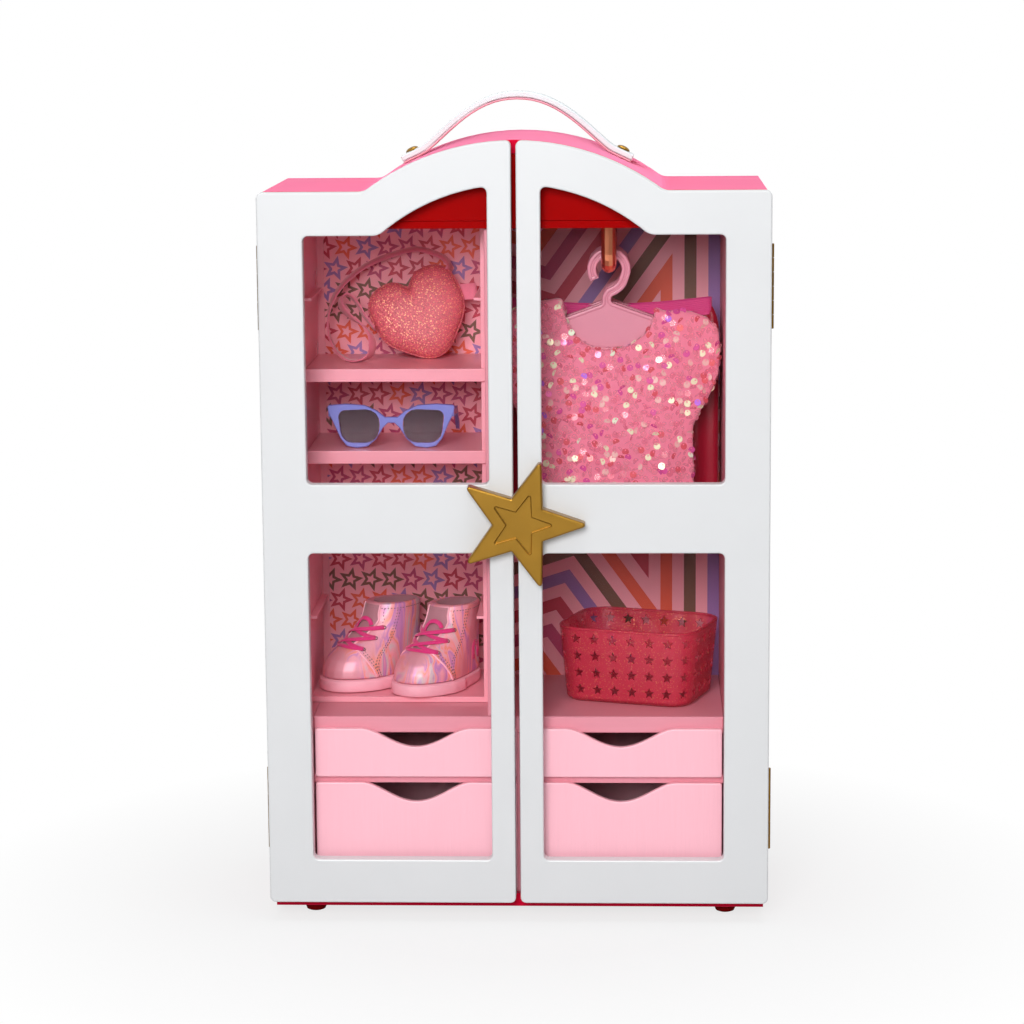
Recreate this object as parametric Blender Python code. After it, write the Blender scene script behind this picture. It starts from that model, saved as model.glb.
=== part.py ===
# Doll closet: an arched carry case with two glazed doors, four drawers, a shelf unit,
# a hanging rail and the small things kept in it. Metres, +Z up, the doors face -Y.
# The origin is under the middle of the case, on the surface that its feet stand on.

import bpy
import bmesh
from math import acos, asin, atan2, cos, pi, radians, sin, sqrt, tan
from mathutils import Matrix, Vector

# Clearances
FIT_GAP = 0.0003
PIN_GAP = 0.0002
CUT_OVERRUN = 0.0020

# Case
CASE_WIDTH = 0.3250
CASE_DEPTH = 0.1481
BOARD = 0.0090
SHOULDER_RISE = 0.0243
ARCH_INSET = 0.0025
CROWN_RISE = 0.0324
ARCH_FILLET = 0.0110
BACK_RECESS = 0.0040
PRINT_THICK = 0.0020
EDGE_ROUND = 0.0006
FOOT_HEIGHT = 0.0066
FOOT_RADIUS = 0.00685
FOOT_SIDE_INSET = 0.0249
FOOT_END_INSET = 0.0160

# Inner boards
LINER_THICK = 0.0172
SHELF_LINER_THICK = 0.0074
DRAWER_BAY_HEIGHT = 0.1088
BASE_SHELF_THICK = 0.0109
WARDROBE_HEIGHT = 0.3234
CEILING_THICK = 0.0047
FASCIA_THICK = 0.0060
DIVIDER_THICK = 0.0048
DIVIDER_X = 0.0176

# Doors
DOOR_OVERHANG = 0.0025
DOOR_THICK = 0.0120
DOOR_BOTTOM_RISE = 0.0063
MIDDLE_GAP = 0.0032
HINGE_GAP = 0.0023
OUTER_STILE = 0.0293
INNER_STILE = 0.0155
BOTTOM_RAIL = 0.0295
MIDDLE_RAIL = 0.0454
TOP_RAIL = 0.0278
LOWER_WINDOW_HEIGHT = 0.2061
WINDOW_CORNER = 0.0035
DOOR_CORNER = 0.0035
DOOR_EDGE_ROUND = 0.0010
REBATE_WIDTH = 0.0040
REBATE_DEPTH = 0.0028
PANE_THICK = 0.0018

# Butt hinges
HINGE_LENGTH = 0.0550
HINGE_INSET = 0.0620
HINGE_OUTSET = 0.0006
KNUCKLE_RADIUS = 0.0013
BORE_RADIUS = 0.00075
LEAF_WIDTH = 0.0150
LEAF_THICK = 0.0007
LEAF_GAP = 0.0003
KNUCKLE_COUNT = 6

# Star latch
STAR_RADIUS = 0.0453
STAR_VALLEY = 0.0181
STAR_INNER_RADIUS = 0.0215
STAR_INNER_VALLEY = 0.0089
STAR_THICK = 0.0104
STAR_GAP = 0.0006
STAR_RECESS = 0.0025
STAR_X = 0.0033
STAR_RISE = 0.0204
STAR_TIP_ROUND = 0.0016
STAR_EDGE_ROUND = 0.0012
PEG_RADIUS = 0.0025
PEG_SPACING = 0.0160
PEG_ROOT = 0.0040
PEG_SETBACK = 0.0010

# Drawers
FRONT_THICK = 0.0040
FRONT_SIDE_GAP = 0.0011
FRONT_CENTRE_GAP = 0.0018
UPPER_FRONT_HEIGHT = 0.0328
LOWER_FRONT_LIFT = 0.0033
FRONT_SPACING = 0.0039
UPPER_FRONT_DROP = 0.0074
FRONT_CORNER = 0.0015
FRONT_EDGE_ROUND = 0.0008
SCOOP_HALF_WIDTH = 0.0355
UPPER_SCOOP_DEPTH = 0.0124
LOWER_SCOOP_DEPTH = 0.0130
DRAWER_SHELF_THICK = 0.0056
DRAWER_DIVIDER_THICK = 0.0060
TRAY_WALL = 0.0025
TRAY_SIDE_GAP = 0.0015
TRAY_BACK_GAP = 0.0080
TRAY_HEADROOM = 0.0060

# Shelf unit
UNIT_DEPTH = 0.0868
UNIT_WALL = 0.0041
UNIT_FLOOR = 0.0037
UNIT_TOP = 0.0030
UNIT_LIP = 0.0046
UNIT_LIP_THICK = 0.0016
LEDGE_SHARES = (0.1738, 0.3460, 0.5182, 0.6904, 0.8460)
LEDGE_THICK = 0.0018
LEDGE_BACK_GAP = 0.0098
SLOT_WIDTH = 0.0060
SLOT_HEIGHT = 0.0100
SHELF_BOARD = 0.0025
SHELF_LIP_HEIGHT = 0.0087
SHELF_LIP_THICK = 0.0022
SHELF_LIP_ROUND = 0.0030

# Hanging rail
ROD_RADIUS = 0.0050
ROD_DROP = 0.0281
ROD_BEND = 0.0080
ROD_BACK_ROOM = 0.0291
ROD_LENGTH = 0.0660
FLANGE_RADIUS = 0.0085
FLANGE_THICK = 0.0020

# Hangers
HANGER_THICK = 0.0030
HOOK_BAND = 0.0060
HOOK_GAP = 0.0003
HOOK_RADIUS = 0.0115
NECK_DROP = 0.0250
HANGER_SIDE_ROOM = 0.0236
HANGER_SHOULDER_DROP = 0.0180
HANGER_BODY_DEPTH = 0.0320
FRONT_HANGER_SETBACK = 0.0140
HANGER_SPACING = 0.0145

# Clothes
TOP_LENGTH = 0.1420
TOP_THICK = 0.0150
TOP_DROP = 0.0220
TOP_BODY_SIDE_ROOM = 0.0186
SLEEVE_SIDE_ROOM = 0.0014
NECK_HALF_WIDTH = 0.0305
NECK_DEPTH = 0.0340
CLOTH_GAP = 0.0004
SKIRT_LENGTH = 0.1640
SKIRT_THICK = 0.0130
SKIRT_DROP = 0.0220
WAIST_SIDE_ROOM = 0.0066
HEM_SIDE_ROOM = 0.0012
FOLD_DEPTH = 0.0016

# Basket
BASKET_WIDTH = 0.0980
BASKET_DEPTH = 0.0770
BASKET_HEIGHT = 0.0510
BASKET_TAPER = 0.0050
BASKET_CORNER = 0.0190
BASKET_WALL = 0.0016
BASKET_SIDE_ROOM = 0.0560
BASKET_BACK_OFFSET = 0.0046
BASKET_TURN = -18.0

# Heart purse
HEART_WIDTH_SHARE = 0.5470
HEART_HEIGHT = 0.0600
HEART_THICK = 0.0190
HEART_LEAN = 25.0
HEART_TILT = 14.0
HEART_OFFSET = 0.0149
HEART_BACK_ROOM = 0.0255
STRAP_WIDTH = 0.0090
STRAP_THICK = 0.0012
STRAP_TILT = 30.0
STRAP_SEAT_SHARE = 0.8000

# Sunglasses
GLASSES_SIDE_ROOM = 0.01575
GLASSES_HEIGHT = 0.0296
GLASSES_THICK = 0.0036
GLASSES_OFFSET = 0.0027
GLASSES_SETBACK = 0.0113
LENS_WIDTH_SHARE = 0.3500
LENS_HEIGHT = 0.0232
LENS_PLACE_SHARE = 0.2480
LENS_RISE = 0.0150
LENS_THICK = 0.0014
LENS_ROUND = 0.0094
TEMPLE_BACK_ROOM = 0.0115
TEMPLE_THICK = 0.0024
TEMPLE_HEIGHT = 0.0044

# Boots
BOOT_LENGTH_SHARE = 0.6752
BOOT_WIDTH_SHARE = 0.4060
HEEL_NARROWING_SHARE = 0.3000
BOOT_HEIGHT = 0.0570
SOLE_HEIGHT = 0.0085
SHAFT_LENGTH_SHARE = 0.3077
SHAFT_WIDTH_SHARE = 0.2479
BOOT_WALL = 0.0020
BOOT_CAVITY_FLOOR = 0.0200
LEFT_BOOT_SHARES = (-0.1735, 0.4724)
LEFT_BOOT_TURN = 50.0
RIGHT_BOOT_SHARES = (0.2231, 0.3502)
RIGHT_BOOT_TURN = 36.0

# Carry handle
HANDLE_WIDTH = 0.0200
HANDLE_FRONT_OFFSET = 0.00675
STRAP_BODY = 0.0036
LINING_BODY = 0.0014
HANDLE_LIFT = 0.0233
HANDLE_SPAN = 0.0620
HANDLE_END = 0.0745
HANDLE_EDGE_ROUND = 0.0006
RIVET_X = 0.0675
RIVET_SHANK = 0.0015
RIVET_HEAD = 0.0045
RIVET_DOME = 0.0022
RIVET_DEPTH = 0.0060

# Places that follow from the sizes
OVERALL_DEPTH = STAR_THICK + STAR_GAP + DOOR_THICK + HINGE_GAP + CASE_DEPTH
DOOR_FRONT = STAR_THICK + STAR_GAP - OVERALL_DEPTH / 2
DOOR_BACK = DOOR_FRONT + DOOR_THICK
CASE_FRONT = DOOR_BACK + HINGE_GAP
CASE_BACK = CASE_FRONT + CASE_DEPTH
CASE_SIDE = CASE_WIDTH / 2
ARCH_RADIUS = CASE_SIDE - ARCH_INSET
ARCH_DROP = ARCH_RADIUS - CROWN_RISE
CASE_BOTTOM = FOOT_HEIGHT + FIT_GAP
FLOOR = CASE_BOTTOM + BOARD
BASE_SHELF_TOP = FLOOR + DRAWER_BAY_HEIGHT + BASE_SHELF_THICK
CEILING = BASE_SHELF_TOP + WARDROBE_HEIGHT
SHOULDER = CEILING + SHOULDER_RISE
ARCH_CENTRE = SHOULDER - ARCH_DROP
BACK_FACE = CASE_BACK - BACK_RECESS - BOARD
PRINT_BACK = BACK_FACE - FIT_GAP
PRINT_FACE = PRINT_BACK - PRINT_THICK
INNER_SIDE = CASE_SIDE - BOARD - FIT_GAP
BAY_SIDE_X = INNER_SIDE - LINER_THICK
SHELF_BAY_SIDE_X = INNER_SIDE - SHELF_LINER_THICK
DOOR_SIDE = CASE_SIDE + DOOR_OVERHANG
DOOR_BOTTOM = CASE_BOTTOM + DOOR_BOTTOM_RISE
HINGE_X = DOOR_SIDE + HINGE_OUTSET
HINGE_Y = DOOR_BACK + HINGE_GAP / 2
STAR_Z = DOOR_BOTTOM + BOTTOM_RAIL + LOWER_WINDOW_HEIGHT + STAR_RISE
STILE_X = (MIDDLE_GAP + INNER_STILE) / 2
BASE_SHELF_FRONT = CASE_FRONT + FRONT_THICK + FIT_GAP + FIT_GAP
UPPER_FRONT_TOP = BASE_SHELF_TOP - UPPER_FRONT_DROP
LOWER_FRONT_TOP = UPPER_FRONT_TOP - UPPER_FRONT_HEIGHT - FRONT_SPACING
UNIT_BACK = PRINT_FACE - FIT_GAP
UNIT_FRONT = UNIT_BACK - UNIT_DEPTH
UNIT_LEFT = FIT_GAP - SHELF_BAY_SIDE_X
UNIT_RIGHT = -DIVIDER_X - DIVIDER_THICK / 2 - FIT_GAP
UNIT_FLOOR_TOP = BASE_SHELF_TOP + FIT_GAP + UNIT_FLOOR
UNIT_MIDDLE = (UNIT_LEFT + UNIT_RIGHT) / 2
UNIT_CLEAR = UNIT_RIGHT - UNIT_LEFT - 2 * UNIT_WALL
BAY_INNER_X = DIVIDER_THICK / 2 - DIVIDER_X
ROD_X = (BAY_INNER_X + BAY_SIDE_X) / 2
BAY_HALF_WIDTH = (BAY_SIDE_X - BAY_INNER_X) / 2
ROD_Z = CEILING - ROD_DROP
ROD_FRONT = PRINT_FACE - ROD_BACK_ROOM - ROD_LENGTH
HANGER_HALF_WIDTH = BAY_HALF_WIDTH - HANGER_SIDE_ROOM
TOP_BODY_HALF_WIDTH = BAY_HALF_WIDTH - TOP_BODY_SIDE_ROOM
TOP_SLEEVE_HALF_WIDTH = BAY_HALF_WIDTH - SLEEVE_SIDE_ROOM
SKIRT_WAIST_HALF_WIDTH = BAY_HALF_WIDTH - WAIST_SIDE_ROOM
SKIRT_HEM_HALF_WIDTH = BAY_HALF_WIDTH - HEM_SIDE_ROOM
HEART_WIDTH = UNIT_CLEAR * HEART_WIDTH_SHARE
GLASSES_WIDTH = UNIT_CLEAR - 2 * GLASSES_SIDE_ROOM
TEMPLE_LENGTH = UNIT_DEPTH - GLASSES_SETBACK - TEMPLE_BACK_ROOM
LENS_WIDTH = GLASSES_WIDTH * LENS_WIDTH_SHARE
BOOT_LENGTH = UNIT_CLEAR * BOOT_LENGTH_SHARE
BOOT_WIDTH = UNIT_CLEAR * BOOT_WIDTH_SHARE
SHAFT_LENGTH = UNIT_CLEAR * SHAFT_LENGTH_SHARE
SHAFT_WIDTH = UNIT_CLEAR * SHAFT_WIDTH_SHARE
HANDLE_Y = (CASE_FRONT + CASE_BACK) / 2 - HANDLE_FRONT_OFFSET
SIDES = (("left", -1), ("right", 1))


# Materials

def material(name, colour, roughness, metallic=0, alpha=1):
    """A named surface finish."""
    finish = bpy.data.materials.new(name)
    finish.use_nodes = True
    shader = finish.node_tree.nodes["Principled BSDF"]
    shader.inputs["Base Color"].default_value = (*colour, 1)
    shader.inputs["Roughness"].default_value = roughness
    shader.inputs["Metallic"].default_value = metallic
    shader.inputs["Alpha"].default_value = alpha
    finish.diffuse_color = (*colour, 1)
    return finish


def make_materials():
    """Every finish on the closet and its contents."""
    return {
        "red_paint": material("red_paint", (0.55, 0.01, 0.02), 0.4),
        "white_paint": material("white_paint", (0.80, 0.81, 0.82), 0.35),
        "pink_paint": material("pink_paint", (0.93, 0.38, 0.46), 0.45),
        "print_paper": material("print_paper", (0.80, 0.30, 0.38), 0.5),
        "pink_plastic": material("pink_plastic", (0.90, 0.38, 0.46), 0.25),
        "clear_plastic": material("clear_plastic", (0.95, 0.95, 0.97), 0.05, alpha=0.2),
        "gold": material("gold", (0.60, 0.38, 0.10), 0.3, metallic=1),
        "copper": material("copper", (0.75, 0.30, 0.16), 0.2, metallic=1),
        "white_leather": material("white_leather", (0.85, 0.84, 0.85), 0.5),
        "pink_leather": material("pink_leather", (0.90, 0.40, 0.50), 0.5),
        "sequin_cloth": material("sequin_cloth", (0.85, 0.18, 0.34), 0.5),
        "satin": material("satin", (0.45, 0.01, 0.05), 0.3),
        "glitter_cloth": material("glitter_cloth", (0.78, 0.18, 0.22), 0.4),
        "raspberry": material("raspberry", (0.75, 0.05, 0.12), 0.25, alpha=0.7),
        "lilac_plastic": material("lilac_plastic", (0.25, 0.30, 0.70), 0.3),
        "dark_lens": material("dark_lens", (0.06, 0.03, 0.04), 0.1),
        "foil_leather": material("foil_leather", (0.80, 0.42, 0.55), 0.25, metallic=0.4),
        "rubber": material("rubber", (0.85, 0.40, 0.50), 0.6),
    }


# Outlines in a plane

def filleted(corners, steps=4):
    """Corners (a, b, radius) of a closed outline, each radius turned into an arc."""
    points = []
    for index, (a, b, radius) in enumerate(corners):
        here = Vector((a, b))
        if not radius:
            points.append(here)
            continue
        before = Vector(corners[index - 1][:2]) - here
        after = Vector(corners[(index + 1) % len(corners)][:2]) - here
        before.normalize()
        after.normalize()
        half = before.angle(after) / 2
        centre = here + (before + after).normalized() * radius / sin(half)
        start = here + before * radius / tan(half) - centre
        end = here + after * radius / tan(half) - centre
        sweep = start.angle_signed(end)
        for step in range(steps + 1):
            spoke = start.copy()
            spoke.rotate(Matrix.Rotation(-sweep * step / steps, 2))
            points.append(centre + spoke)
    return points


def area(points):
    """Signed area of a closed outline, positive when it runs counter-clockwise."""
    total = 0
    for index, point in enumerate(points):
        total += points[index - 1].cross(point)
    return total / 2


def grown(points, distance):
    """A closed outline with each side moved outward by a distance."""
    turn = 1 if area(points) > 0 else -1
    moved = []
    for index, point in enumerate(points):
        before = (point - points[index - 1]).normalized()
        after = (points[(index + 1) % len(points)] - point).normalized()
        before_out = Vector((before.y, -before.x)) * turn
        after_out = Vector((after.y, -after.x)) * turn
        middle = (before_out + after_out).normalized()
        moved.append(point + middle * distance / max(middle.dot(after_out), 0.3))
    return moved


def rectangle(low, high, radius=0, steps=4):
    """An upright rectangle between two corners, with round corners if asked."""
    corners = ((low[0], low[1]), (high[0], low[1]), (high[0], high[1]), (low[0], high[1]))
    return filleted([(a, b, radius) for a, b in corners], steps)


def circle(radius, sides=16, centre=(0, 0)):
    """A closed round outline."""
    turns = [2 * pi * side / sides for side in range(sides)]
    return [Vector((centre[0] + radius * cos(turn), centre[1] + radius * sin(turn))) for turn in turns]


def superellipse(half_a, half_b, power, sides):
    """A closed outline between an ellipse and a rectangle."""
    points = []
    for side in range(sides):
        turn = 2 * pi * side / sides
        across = abs(cos(turn)) ** (2 / power) * (1 if cos(turn) > 0 else -1)
        along = abs(sin(turn)) ** (2 / power) * (1 if sin(turn) > 0 else -1)
        points.append(Vector((half_a * across, half_b * along)))
    return points


def bezier(start, control, end, steps):
    """Points along a quadratic curve, its start left out."""
    points = []
    for step in range(1, steps + 1):
        share = step / steps
        near = Vector(start).lerp(Vector(control), share)
        far = Vector(control).lerp(Vector(end), share)
        points.append(near.lerp(far, share))
    return points


def smooth_path(knots, steps):
    """A smooth open path through hand-chosen points."""
    points = []
    ends = [knots[0]] + list(knots) + [knots[-1]]
    for index in range(1, len(ends) - 2):
        before, here, there, after = (Vector(ends[index + shift]) for shift in (-1, 0, 1, 2))
        for step in range(steps):
            share = step / steps
            leave = here.lerp(here + (there - before) / 2, share)
            arrive = (there - (after - here) / 2).lerp(there, share)
            blend = share * share * (3 - 2 * share)
            points.append(leave.lerp(arrive, blend))
    points.append(Vector(knots[-1]))
    return points


def band_outline(path, low, high):
    """The closed outline of a band between two distances to the left of an open path."""
    near, far = [], []
    for index, point in enumerate(path):
        ahead = path[min(index + 1, len(path) - 1)] - path[max(index - 1, 0)]
        side = Vector((-ahead.y, ahead.x)).normalized()
        near.append(point + side * low)
        far.append(point + side * high)
    return far + near[::-1]


def ribbon_outline(path, thickness):
    """The closed outline of a band that has an open path along its middle."""
    return band_outline(path, -thickness / 2, thickness / 2)


def star_outline(tip, valley, tip_round, points=5):
    """A star with one tip along +a and small rounds on its tips."""
    corners = []
    for index in range(2 * points):
        turn = pi * index / points
        reach = valley if index % 2 else tip
        rounding = tip_round / 2 if index % 2 else tip_round
        corners.append((reach * cos(turn), reach * sin(turn), rounding))
    return filleted(corners, 3)


# Solids

def front_plane(a, b, depth):
    """A front view's outline stands in XZ, and its depth runs back along Y."""
    return Vector((a, depth, b))


def floor_plane(a, b, depth):
    """A plan view's outline lies in XY, and its depth runs up along Z."""
    return Vector((a, b, depth))


def side_plane(a, b, depth):
    """A side view's outline stands in YZ, and its depth runs along X."""
    return Vector((depth, a, b))


def stack(shape, rings):
    """Walls between rings of equal count; returns the first and last rings' vertices."""
    loops = [[shape.verts.new(point) for point in ring] for ring in rings]
    for near, far in zip(loops, loops[1:]):
        for index in range(len(near)):
            shape.faces.new((near[index - 1], near[index], far[index], far[index - 1]))
    return loops[0], loops[-1]


def fill(shape, loops):
    """A flat face between one outer loop and any holes inside it."""
    edges = []
    for loop in loops:
        for index in range(len(loop)):
            pair = (loop[index - 1], loop[index])
            edges.append(shape.edges.get(pair) or shape.edges.new(pair))
    bmesh.ops.triangle_fill(shape, use_beauty=True, use_dissolve=False, edges=edges)


def rounded_depths(near, far, near_round, far_round, steps=2):
    """Pairs (inset, depth) that round a plate's two edges."""
    depths = []
    for step in range(steps + 1 if near_round else 1):
        turn = pi / 2 * step / steps
        depths.append((near_round * (1 - sin(turn)), near + near_round * (1 - cos(turn))))
    for step in range(steps + 1 if far_round else 1):
        turn = pi / 2 * step / steps
        depths.append((far_round * (1 - cos(turn)), far - far_round * (1 - sin(turn))))
    return depths


def plate(outline, depths, holes=(), pockets=(), plane=front_plane):
    """A plate from an outline; holes and pockets are pairs of outline and (growth, depth) steps."""
    shape = bmesh.new()
    rings = [[plane(*point, depth) for point in grown(outline, -inset)] for inset, depth in depths]
    near, far = stack(shape, rings)
    near_loops, far_loops = [near], [far]
    for hole, steps in holes:
        rings = [[plane(*point, depth) for point in grown(hole, growth)] for growth, depth in steps]
        first, last = stack(shape, rings)
        near_loops.append(first)
        far_loops.append(last)
    for pocket, steps in pockets:
        rings = [[plane(*point, depth) for point in grown(pocket, growth)] for growth, depth in steps]
        first, last = stack(shape, rings)
        near_loops.append(first)
        fill(shape, [last])
    fill(shape, near_loops)
    fill(shape, far_loops)
    return finished(shape)


def loft(rings):
    """A closed solid through rings of equal count, flat at both ends."""
    shape = bmesh.new()
    first, last = stack(shape, rings)
    fill(shape, [first])
    fill(shape, [last])
    return finished(shape)


def block(low, high, round_by=0):
    """A board or block between two corners, its edges across X and Z rounded if asked."""
    outline = rectangle((low[0], low[2]), (high[0], high[2]))
    return plate(outline, rounded_depths(low[1], high[1], round_by, round_by, 1))


def rod(radius, low, high, centre, sides=16, plane=floor_plane):
    """A plain round bar along the depth of a plane."""
    return plate(circle(radius, sides, centre), [(0, low), (0, high)], plane=plane)


def finished(shape):
    """The mesh of a shape, its faces turned outward."""
    bmesh.ops.recalc_face_normals(shape, faces=shape.faces)
    mesh = bpy.data.meshes.new("solid")
    shape.to_mesh(mesh)
    shape.free()
    return mesh


def moved(mesh, move=(0, 0, 0), turn=0, axis="Z", mirror=False):
    """A mesh turned about an axis, moved, and mirrored across X if asked."""
    mesh.transform(Matrix.Translation(move) @ Matrix.Rotation(turn, 4, axis))
    if mirror:
        mesh.transform(Matrix.Scale(-1, 4, (1, 0, 0)))
        mesh.flip_normals()
    return mesh


def combined(mesh, tools, operation):
    """The mesh after each tool is joined to it or cut from it."""
    base = bpy.data.objects.new("boolean_base", mesh)
    bpy.context.scene.collection.objects.link(base)
    spare = []
    for tool in tools:
        helper = bpy.data.objects.new("boolean_tool", tool)
        bpy.context.scene.collection.objects.link(helper)
        helper.hide_render = True
        helper.display_type = "WIRE"
        step = base.modifiers.new(operation.lower(), "BOOLEAN")
        step.operation = operation
        step.solver = "EXACT"
        step.object = helper
        spare.append(helper)
    view = bpy.context.evaluated_depsgraph_get()
    result = bpy.data.meshes.new_from_object(base.evaluated_get(view))
    for helper in spare + [base]:
        bpy.data.objects.remove(helper)
    return result


def cut(mesh, tools):
    """The mesh with the tools' shapes removed."""
    return combined(mesh, tools, "DIFFERENCE")


def united(mesh, tools):
    """The mesh and the tools as one body."""
    return combined(mesh, tools, "UNION")


# Objects

def pivot(name, place, turn=(0, 0, 0)):
    """An empty that carries the pieces of one moving or tilted group."""
    empty = bpy.data.objects.new(name, None)
    bpy.context.scene.collection.objects.link(empty)
    empty.location = place
    empty.rotation_euler = turn
    return empty


def piece(name, mesh, finish, parent=None, smooth=False):
    """A named piece whose mesh is already at its place, hung on its group's empty."""
    item = bpy.data.objects.new(name, mesh)
    bpy.context.scene.collection.objects.link(item)
    mesh.name = name
    mesh.materials.clear()
    mesh.materials.append(finish)
    if parent:
        mesh.transform(Matrix.Translation(-parent.location))
        item.parent = parent
    if smooth:
        mesh.shade_smooth()
        mesh.set_sharp_from_angle(angle=radians(35))
    return item


def local_piece(name, mesh, finish, parent):
    """A named piece modelled about its own group's empty."""
    item = bpy.data.objects.new(name, mesh)
    bpy.context.scene.collection.objects.link(item)
    mesh.name = name
    mesh.materials.clear()
    mesh.materials.append(finish)
    item.parent = parent
    mesh.shade_smooth()
    mesh.set_sharp_from_angle(angle=radians(35))
    return item


# Case

def arch_half_angle(radius, drop):
    """Half the angle of an arch between the points where it meets its shoulders."""
    return acos(drop / radius)


def arch_corners(radius, drop, centre, steps, start=None):
    """Arch points from right to left between its shoulders, or up to a start x."""
    first = arch_half_angle(radius, drop)
    last = -first if start is None else asin(start / radius)
    corners = []
    for step in range(1, steps):
        turn = first + (last - first) * step / steps
        corners.append((radius * sin(turn), centre + radius * cos(turn), 0))
    return corners


def make_arched_top(finish):
    """The bent top board, with a hole for each rivet of the handle."""
    join = ARCH_RADIUS * sin(arch_half_angle(ARCH_RADIUS, ARCH_DROP))
    inner_radius = ARCH_RADIUS - BOARD
    inner_drop = ARCH_DROP - BOARD
    inner_join = inner_radius * sin(arch_half_angle(inner_radius, inner_drop))
    under = SHOULDER - BOARD
    outer = [(CASE_SIDE, SHOULDER, EDGE_ROUND), (join, SHOULDER, ARCH_FILLET)]
    outer += arch_corners(ARCH_RADIUS, ARCH_DROP, ARCH_CENTRE, 22)
    outer += [(-join, SHOULDER, ARCH_FILLET), (-CASE_SIDE, SHOULDER, EDGE_ROUND)]
    inner = [(CASE_SIDE, under, 0), (inner_join, under, ARCH_FILLET)]
    inner += arch_corners(inner_radius, inner_drop, ARCH_CENTRE, 22)
    inner += [(-inner_join, under, ARCH_FILLET), (-CASE_SIDE, under, 0)]
    outline = filleted(outer + inner[::-1], 3)
    mesh = plate(outline, rounded_depths(CASE_FRONT, CASE_BACK, EDGE_ROUND, EDGE_ROUND, 1))
    mesh = cut(mesh, rivet_tools(RIVET_SHANK + PIN_GAP, RIVET_DEPTH + FIT_GAP))
    piece("arched_top", mesh, finish, smooth=True)


def make_case(finishes):
    """Bottom, sides, back, fascia and ceiling of the case."""
    red = finishes["red_paint"]
    bottom = block((-CASE_SIDE, CASE_FRONT, CASE_BOTTOM), (CASE_SIDE, CASE_BACK, FLOOR), EDGE_ROUND)
    piece("bottom_panel", bottom, red)
    side_top = SHOULDER - BOARD - FIT_GAP
    for side, sign in SIDES:
        inner, outer = sorted((sign * (CASE_SIDE - BOARD), sign * CASE_SIDE))
        low = (inner, CASE_FRONT, FLOOR + FIT_GAP)
        piece(side + "_side_panel", block(low, (outer, CASE_BACK, side_top), EDGE_ROUND), red)
    make_arched_top(red)
    gap_top = SHOULDER - BOARD - FIT_GAP
    back = arched_board(INNER_SIDE, FLOOR + FIT_GAP, gap_top, BACK_FACE, BACK_FACE + BOARD)
    piece("back_panel", back, red, smooth=True)
    fascia_bottom = CEILING + CEILING_THICK + FIT_GAP
    fascia = arched_board(INNER_SIDE, fascia_bottom, gap_top, CASE_FRONT, CASE_FRONT + FASCIA_THICK)
    piece("fascia_board", fascia, red, smooth=True)
    ceiling_low = (-INNER_SIDE, CASE_FRONT, CEILING)
    ceiling_high = (INNER_SIDE, PRINT_FACE - FIT_GAP, CEILING + CEILING_THICK)
    piece("ceiling_panel", block(ceiling_low, ceiling_high), red)


def arched_board(half_width, bottom, shoulder, front, back):
    """A board whose top edge follows the underside of the arched top."""
    radius = ARCH_RADIUS - BOARD - FIT_GAP
    drop = shoulder - ARCH_CENTRE
    join = radius * sin(arch_half_angle(radius, drop))
    corners = [(-half_width, bottom, 0), (half_width, bottom, 0), (half_width, shoulder, 0)]
    corners += [(join, shoulder, ARCH_FILLET)] + arch_corners(radius, drop, ARCH_CENTRE, 22)
    corners += [(-join, shoulder, ARCH_FILLET), (-half_width, shoulder, 0)]
    return plate(filleted(corners, 3), [(0, front), (0, back)])


def make_feet(finish):
    """Four round glides, one near each corner."""
    rows = (("front", CASE_FRONT + FOOT_END_INSET), ("rear", CASE_BACK - FOOT_END_INSET))
    for side, sign in SIDES:
        for end, y in rows:
            centre = (sign * (CASE_SIDE - FOOT_SIDE_INSET), y)
            outline = circle(FOOT_RADIUS, 20, centre)
            depths = rounded_depths(0, FOOT_HEIGHT, FOOT_HEIGHT / 3, 0)
            foot = plate(outline, depths, plane=floor_plane)
            piece(side + "_" + end + "_foot", foot, finish, smooth=True)


# Inner boards

def make_liners(finish):
    """The boards that line the two sides, the left one cut back above the drawers."""
    top = CEILING - FIT_GAP
    bottom = FLOOR + FIT_GAP
    depths = [(0, CASE_FRONT), (0, PRINT_FACE - FIT_GAP)]
    right = rectangle((BAY_SIDE_X, bottom), (INNER_SIDE, top))
    piece("right_liner", plate(right, depths), finish)
    left = [Vector((-INNER_SIDE, bottom)), Vector((-BAY_SIDE_X, bottom))]
    left += [Vector((-BAY_SIDE_X, BASE_SHELF_TOP)), Vector((-SHELF_BAY_SIDE_X, BASE_SHELF_TOP))]
    left += [Vector((-SHELF_BAY_SIDE_X, top)), Vector((-INNER_SIDE, top))]
    piece("left_liner", plate(left, depths), finish)


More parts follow.
